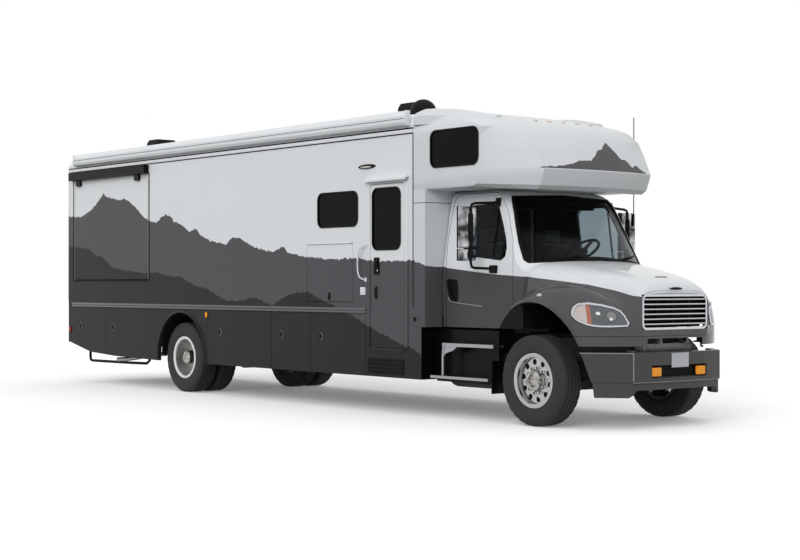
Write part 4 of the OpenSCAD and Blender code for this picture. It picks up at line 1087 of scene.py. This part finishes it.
def windshield_details():
    windshield_border()
    wipers = Piece("wipers")
    for y0, y1, z1 in ((-0.62, -0.12, 2.0), (0.38, 0.86, 2.02)):
        blade = [(FAR, y0 + (y1 - y0) * k / 8, 1.862 + (z1 - 1.862) * k / 8 * 0.35) for k in range(9)]
        wipers.tube([p + Vector((0.022, 0, 0.004)) for p in hits("windshield", blade, BACK)], 0.009)
    wipers.done()
    visors = Piece("sun_visors")
    for side in (-1, 1):
        visors.box((3.93, side * 0.12, 2.47), (4.02, side * 0.66, 2.5), 0.012)
    visors.done("trim")
    mirror = Piece("inner_mirror").box((4.1, -0.11, 2.4), (4.125, 0.11, 2.47), 0.01)
    start, end = Vector((4.115, 0, 2.465)), Vector((4.14, 0, 2.54))
    length = (end - start).length
    stem = [(0, 0.0085), (0.0015, 0.01), (length - 0.0015, 0.01), (length, 0.0085)]
    mirror.lathe(stem, start, end - start, 16).done()


def cab_door_details():
    """Handle in its pocket, crease painted light grey as a highlight, and window bar of each cab door."""
    for word, side in SIDES:
        y, body = side * CAB_Y, f"door_{word}"
        line = [(p.x, y + side * 0.0015, p.z) for p in chain([(a, 0, b) for a, b in HANDLE], 4)]
        Piece(f"door_handle_pocket_{word}").slab(line, (0, side * 0.003, 0)).done("seal", body)
        lever = Piece(f"door_handle_{word}").tube([(a, y + side * out, z) for a, out, z in LEVER], 0.013)
        lever.done("black", body)
        curve = [(3.272 + 0.006 * k, 1.42 - 0.004 * k - 0.0035 * k * k / 3) for k in range(6)]
        curve += [(3.34 + 0.09 * k, 1.362 - 0.008 * k) for k in range(1, 7)]
        # The crease tube is painted light grey as its highlight.
        crease = Piece(f"door_crease_{word}").tube([(a, y + side * 0.002, z) for a, z in curve], 0.009)
        crease.done("crease", body)
        rays = [(4.02, side * 3, z) for z in (1.9, 2.05, 2.2, 2.35, 2.46)]
        bar = [p + Vector((0, side * 0.004, 0)) for p in hits(f"cab_door_glass_{word}", rays, (0, -side, 0))]
        Piece(f"door_window_bar_{word}").tube(bar, 0.012).done("seal", body)


def mirrors():
    """On each door a tall mirror head over a round-view head, on a tube frame."""
    heads = ((1.99, 2.468, 0.062), (1.843, 1.98, 0.055))
    x = 3.978
    for word, side in SIDES:
        body = f"door_{word}"
        arms = Piece(f"mirror_arms_{word}")
        frame_tube = ((4.03, 0.918, 2.528), (4.01, 0.97, 2.52), (3.985, 1.1, 2.512), (x, 1.24, 2.504),
                      (x, 1.287, 2.49), (x, MIRROR_Y, 2.455), (x, MIRROR_Y, 2.0), (x, MIRROR_Y, 1.82),
                      (x, 1.287, 1.775), (x, 1.24, 1.762), (4.02, 1.12, 1.758), (4.08, 1.026, 1.752))
        arms.tube([(a, side * y, z) for a, y, z in frame_tube], 0.016, 14)
        arms.box((4.005, side * 0.905, 2.475), (4.065, side * 0.945, 2.575), 0.01)
        arms.box((4.02, side * 1.022, 1.705), (4.13, side * 1.062, 1.795), 0.01)
        for low_z, tall in ((2.06, 0.34), (1.86, 0.11)):
            arms.lathe([(0, 0.014), (0.03, 0.03), (tall - 0.03, 0.03), (tall, 0.014)],
                       (x, side * MIRROR_Y, low_z), (0, 0, 1), 20)
        arms = arms.done("black", body)
        shells, rims, faces = (Piece(f"mirror_{part}_{word}") for part in ("shells", "rims", "faces"))
        for z0, z1, bulge in heads:
            shells.box((3.914, side * 1.208, z0 + 0.002), (3.914 + bulge, side * 1.452, z1 - 0.002), 0.026)
            rims.box((3.902, side * 1.208, z0), (3.922, side * 1.452, z1), 0.008)
            faces.box((3.8995, side * 1.221, z0 + 0.013), (3.9035, side * 1.439, z1 - 0.013), 0.0015)
        shells.done("mirror_back", body)
        rims.done("black", body)
        faces.done("chrome", body)
        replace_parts(arms, f"mirror_{word}")


def antenna():
    rod = Piece("antenna")
    rod.tube([(3.985, 1.4, 2.3), (3.985, 1.408, 2.45), (3.985, 1.41, 2.7), (3.985, 1.412, 3.66)], 0.006, 8)
    rod.lathe([(0, 0.014), (0.1, 0.012), (0.16, 0.007)], (3.985, 1.4, 2.3), (0, 0.02, 1), 16)
    rod.done("black", "door_left")


def seat_block(name, centre, size, channels=True, lean=0.0):
    """Crowned cushion: sides pull in between the corners, sewn channels across its face."""
    piece = Piece(name)
    made = bmesh.ops.create_cube(piece.mesh, size=2.0)["verts"]
    edges = list({e for v in made for e in v.link_edges})
    bmesh.ops.subdivide_edges(piece.mesh, edges=edges, cuts=11, use_grid_fill=True)
    turn = Matrix.Rotation(lean, 3, "Y")
    for v in piece.mesh.verts:
        u, w, h = v.co
        pull_u = 1 - 0.05 * (1 - w * w) - 0.1 * abs(h) ** 3
        pull_w = 1 - 0.04 * (1 - u * u) - 0.1 * abs(h) ** 3
        z = h * (0.62 + 0.38 * (1 - u ** 4) * (1 - w ** 4))
        if channels and h > 0.9:
            z -= sum(0.16 * math.exp(-((w - line) / 0.05) ** 2) for line in (-0.42, 0.42))
            z -= 0.1 * math.exp(-((u - 0.1) / 0.06) ** 2) * (abs(w) < 0.42)
        v.co = Vector(centre) + turn @ Vector((u * pull_u * size[0], w * pull_w * size[1], z * size[2])) / 2
    piece.done("cloth", smooth=80, subdivide=1)


def seats():
    """Two cab seats on pedestals, each with a cushion, a back and a headrest."""
    stand = Piece("seat_pedestals")
    for side in (-1, 1):
        stand.box((3.58, side * 0.38, 1.118), (3.9, side * 0.66, 1.36), 0.02)
        stand.box((3.52, side * 0.3, 1.355), (3.96, side * 0.74, 1.395), 0.012)
    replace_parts(stand.done("trim"), "cab_seats")
    for word, side in SIDES:
        y = side * 0.52
        seat_block(f"seat_cushion_{word}", (3.755, y, 1.462), (0.5, 0.5, 0.15))
        seat_block(f"seat_back_{word}", (3.485, y, 1.8), (0.56, 0.48, 0.13), lean=math.radians(-82))
        seat_block(f"seat_headrest_{word}", (3.425, y, 2.16), (0.17, 0.28, 0.1), False, math.radians(-84))


def steering_wheel():
    centre, tilt, radius = Vector((3.99, 0.5, 1.985)), Matrix.Rotation(math.radians(-35), 3, "Y"), 0.212
    wheel = Piece("steering_wheel")
    rim = [centre + tilt @ Vector((radius * math.cos(a), radius * math.sin(a), 0)) for a in turn_angles(40)]
    wheel.tube(rim, 0.016, closed=True)
    for a in (0.0, math.pi, 1.5 * math.pi):
        spoke = [Vector((r * math.cos(a), r * math.sin(a), -0.02 * (1 - r / 0.21))) for r in (0.03, 0.1, 0.2)]
        wheel.tube([centre + tilt @ p for p in spoke], 0.013, 10)
    boss = [(-0.04, 0.05), (0.0, 0.06), (0.012, 0.05), (0.014, 0.001)]
    wheel.lathe(boss, centre, tilt @ Vector((0, 0, 1)), 28)
    wheel.done("trim")


# ---------- hood, lamps and bumper ----------

LAMP_X, LAMP_Y = 5.41, 1.09
LAMP_TURN = math.radians(53.1)
LAMP_OUTLINE = [(-0.02, 1.262), (0.0, 1.325), (0.053, 1.359), (0.158, 1.364), (0.29, 1.343), (0.422, 1.314),
                (0.494, 1.283), (0.54, 1.232), (0.583, 1.158), (0.568, 1.13), (0.435, 1.123), (0.277, 1.126),
                (0.158, 1.14), (0.053, 1.178), (0.0, 1.222)]
BADGE_Z = 1.528


def lamp_bezels():
    """Chrome rim that follows each headlamp's outline; where it misses the lamp, it is drawn inwards."""
    for word, side in SIDES:
        along = Vector((math.cos(LAMP_TURN), -side * math.sin(LAMP_TURN), 0))
        out = Vector((math.sin(LAMP_TURN), side * math.cos(LAMP_TURN), 0))
        start = Vector((LAMP_X, side * LAMP_Y, 0))
        line = []
        for p in chain([(a, 0, z) for a, z in LAMP_OUTLINE], 4):
            origin = start + along * p.x + Vector((0, 0, p.z))
            inward = start + along * 0.28 + Vector((0, 0, 1.24)) - origin
            rays = [origin + inward * share + out * 0.6 for share in (0.0, 0.03, 0.06, 0.1, 0.15)]
            line += [q + out * 0.004 - inward.normalized() * 0.006 for q in hits("headlamps", rays, -out)[:1]]
        Piece(f"headlamp_bezel_{word}").tube(line, 0.0135, 10, closed=True).done("chrome", "hood")


def grille_details():
    """Chrome surround and slats over a black mesh, and the hood's lip above them."""
    low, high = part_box("grille")
    x, wide, tall = low.x - 0.03, high.y - low.y, high.z - low.z
    mesh = Piece("grille_mesh")
    for y in (low.y + 0.03 + (wide - 0.06) * i / 26 for i in range(27)):
        mesh.box((x, y - 0.0025, low.z + 0.03), (x + 0.004, y + 0.0025, high.z - 0.03), 0.0)
    for z in (low.z + 0.03 + (tall - 0.06) * i / 14 for i in range(15)):
        mesh.box((x - 0.003, low.y + 0.03, z - 0.0025), (x + 0.001, high.y - 0.03, z + 0.0025), 0.0)
    mesh.box((x - 0.02, low.y + 0.02, low.z + 0.02), (x - 0.012, high.y - 0.02, high.z - 0.02), 0.0)
    mesh.done("seal", "hood")
    opening = (low.y, high.y, low.z, high.z)
    outer, inner = ([(b, a, c) for a, b, c in rounded(*opening, 0.06, high.x - 0.001, grow)]
                    for grow in (0.004, -0.02))
    Piece("grille_surround").band(outer, inner, (0.01, 0, 0)).done("chrome", "hood")
    slats = Piece("grille_slats")
    section = ((-0.016, -0.01), (0.004, -0.007), (0.008, 0.001), (0.003, 0.009), (-0.016, 0.011))
    for z in (low.z + 0.055 + i * SLAT_STEP for i in range(6)):
        slats.slab([(high.x + a, low.y + 0.018, z + b) for a, b in section], (0, wide - 0.036, 0))
    slats.done("grille", "hood")
    rays = [(FAR, y, 1.484 - 0.05 * (abs(y) / 0.525) ** 4) for y in (-0.522 + i * 0.0348 for i in range(31))]
    path = [p for p in hits("hood", rays, BACK) if p.x > 5.85]
    Piece("grille_top_lip").tube(path, 0.01, 10).done("hood", "hood")


def badge():
    """Blank oval over the grille."""
    x = hits("hood", [(FAR, 0.0, BADGE_Z)], BACK)[0].x

    def oval(place, wide, tall):
        return [(place, wide * math.cos(a), BADGE_Z + tall * math.sin(a)) for a in turn_angles(36)]

    ring = Piece("hood_badge_blank")
    ring.band(oval(x + 0.004, 0.118, 0.026), oval(x + 0.004, 0.104, 0.016), (0.012, 0, 0))
    ring.done("chrome", "hood")
    Piece("hood_badge_face").slab(oval(x - 0.01, 0.106, 0.018), (0.02, 0, 0)).done("black_paint", "hood")


def hood_details():
    """Badge, washer slot, fender lips and fender marker lamps."""
    badge()
    p = hits("hood", [(5.69, 0.0, 3)], DOWN)[0]
    slot = Piece("hood_washer_slot")
    slot.box((p.x - 0.012, -0.09, p.z - 0.002), (p.x + 0.012, 0.09, p.z + 0.005)).done("black", "hood")
    cx, cz, r = ARCH_FRONT
    for word, side in SIDES:
        rays = [polar(cx, side * 3, cz, r + 0.006, math.radians(degrees)) for degrees in range(20, 118, 3)]
        path = [p for p in hits("hood", rays, (0, -side, 0)) if abs(p.y) > 0.6]
        Piece(f"fender_lip_{word}").tube(path, 0.013, 10).done("hood", "hood", "body_grey")
        p = hits("hood", [(4.966, side * 3, 1.455)], (0, -side, 0))[0]
        lamp = Piece(f"fender_marker_{word}").dome((p.x, p.y + side * 0.002, p.z), (0.036, 0.018, 0.02))
        lamp.done("clear", "hood")


def bumper_details():
    """Fog lamps in their recess, plate, members behind the bumper, its edges painted pale as highlights, and
    its joint line.
    """
    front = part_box("front_bumper")[1].x
    lamps, housings = Piece("fog_lamps"), Piece("fog_lamp_housings")
    for y in (-0.362, 0.362):
        housings.box((5.905, y - 0.086, 0.568), (5.944, y + 0.086, 0.682), 0.012)
        lamps.box((5.934, y - 0.076, 0.576), (5.958, y + 0.076, 0.672), 0.016)
    lamps.done("amber")
    housings.done()
    Piece("fog_lamp_recess").box((5.9125, -0.448, 0.568), (5.918, 0.448, 0.698), 0.0).done("seal")
    Piece("front_plate_blank").box((front - 0.004, -0.15, 0.668), (front, 0.13, 0.828), 0.002).done("satin")
    member = Piece("front_cross_member").box((5.62, -0.4, 0.845), (5.79, 0.4, 0.925), 0.008)
    member.box((5.6, -0.46, 0.79), (5.72, 0.46, 0.85), 0.008).done("bracket", slot="black_steel")
    hinges = Piece("hood_hinge_brackets")
    for y in (-0.17, 0.26, 0.49):
        hinges.box((5.76, y - 0.03, 0.925), (5.84, y + 0.03, 0.945), 0.004)
        hinges.box((5.79, y - 0.012, 0.93), (5.85, y + 0.012, 0.985), 0.005)
    hinges.done("bracket")
    half = [(5.499, 1.081), (5.935, 0.706), (5.97, 0.401), (5.98, 0.0)]
    full = [(x, -y) for x, y in half] + [(x, y) for x, y in reversed(half[:-1])]
    Piece("bumper_joint_line").tube([(x - 0.004, y, 0.523) for x, y in full[1:-1]], 0.004, 8).done("seal")
    # Pale tubes along the bumper's top and bottom edges and corners: painted highlights.
    rim = Piece("bumper_edges").tube([(x - 0.006, y, 0.832) for x, y in full], 0.006, 8)
    rim.tube([(x - 0.005, y, 0.515) for x, y in full[1:-1]], 0.005, 8)
    for side in (-1, 1):
        rim.tube([(5.933, side * 0.704, 0.53), (5.933, side * 0.704, 0.834)], 0.006, 8)
    rim.done("bumper_highlight")


def step_details():
    """Posts, gussets and nosings of the cab steps."""
    gusset = ((3.36, 0.845), (3.62, 0.845), (3.55, 0.8), (3.42, 0.765), (3.36, 0.7))
    for word, side in SIDES:
        post = [(x, side * 1.2, z) for x, z in ((3.368, 0.5), (3.368, 0.72), (3.375, 0.8), (3.4, 0.862))]
        piece = Piece(f"step_brackets_{word}").tube(post, 0.016)
        piece.slab([(x, side * 1.196, z) for x, z in gusset], (0, side * 0.006, 0)).done("satin")
        nosing = Piece(f"step_nosings_{word}").box((3.36, side * 1.197, 0.846), (4.25, side * 1.206, 0.886))
        nosing.box((3.175, side * 1.227, 0.468), (4.19, side * 1.236, 0.5)).done("satin")


# ---------- stage ----------

FLOOR_HALF = 140.0
FLOOR_GLOW = 0.17
FLOOR_BOUNCE = 0.24
SKY_LIGHT = 0.84
KEY_LIGHT = 1.15
KEY_FROM = (8, -16, 9)
KEY_ANGLE = math.radians(35)
SENSOR_MM, LENS_MM = 36.0, 71.1
CAMERA_AT = (17.525, -13.279, 1.576)
CAMERA_TURN = [math.radians(a) for a in (90.153, 0.0, 51.085)]


def seen_rays(nodes):
    """1 for camera, glossy and transmission rays, 0 for the rays that carry light to the object."""
    rays = nodes.add("LightPath", {})
    total = nodes.maths("MAXIMUM", rays["Is Camera Ray"], rays["Is Glossy Ray"])
    return nodes.maths("MAXIMUM", total, rays["Is Transmission Ray"])


def floor():
    """Wide pale floor. It glows a little to the eye alone, so that it is white around a grey shadow."""
    s = FLOOR_HALF
    data = bpy.data.meshes.new("floor")
    data.from_pydata([(-s, -s, 0), (s, -s, 0), (s, s, 0), (-s, s, 0)], [], [(0, 1, 2, 3)])
    made = bpy.data.objects.new("floor", data)
    bpy.context.scene.collection.objects.link(made)
    shader = Shader("pale_floor", Specular_IOR_Level=0.0)
    seen = seen_rays(shader)
    colour = shader.mix(seen, (FLOOR_BOUNCE, FLOOR_BOUNCE, FLOOR_BOUNCE, 1.0), (247, 247, 247))
    shader.put((1, 1, 1, 1), shader.bsdf.inputs["Emission Color"])
    shader.put(shader.spread(seen, 0.0, FLOOR_GLOW), shader.bsdf.inputs["Emission Strength"])
    data.materials.append(shader.finish(colour, (1.0, 1.0, 1.0), drift=(0.004, 0.2)))


def surroundings():
    """White background to the eye and in reflections; a plain level of light for the object."""
    world = bpy.data.worlds.new("surroundings")
    bpy.context.scene.world = world
    world.use_nodes = True
    nodes = Nodes(world.node_tree)
    background = world.node_tree.nodes["Background"]
    nodes.put((1, 1, 1, 1), background.inputs["Color"])
    nodes.put(nodes.spread(seen_rays(nodes), SKY_LIGHT, 1.0), background.inputs["Strength"])
    lamp = bpy.data.lights.new("key", "SUN")
    lamp.energy = KEY_LIGHT
    lamp.angle = KEY_ANGLE
    holder = bpy.data.objects.new("key", lamp)
    holder.visible_glossy = False
    holder.rotation_euler = Vector(KEY_FROM).to_track_quat("Z", "Y").to_euler()
    bpy.context.scene.collection.objects.link(holder)


def stage():
    """Floor, light and the camera."""
    floor()
    surroundings()
    camera = bpy.data.cameras.new("camera")
    camera.sensor_width, camera.lens = SENSOR_MM, LENS_MM
    camera.clip_start, camera.clip_end = 0.1, 300
    holder = bpy.data.objects.new("camera", camera)
    holder.location = CAMERA_AT
    holder.rotation_euler = CAMERA_TURN
    bpy.context.scene.collection.objects.link(holder)
    bpy.context.scene.camera = holder
    bpy.context.scene.view_settings.view_transform = "Standard"


PARTS = (front_wheels, rear_wheels, window_frames, side_trim, awning_details, bay_latches, entry_fittings,
         hatch_fittings, louvre, arch_trim, marker_lamps, rear_details, roof_details, windshield_details,
         cab_door_details, mirrors, antenna, seats, steering_wheel, lamp_bezels, grille_details,
         hood_details, bumper_details, step_details, stage)
for build in PARTS:
    build()
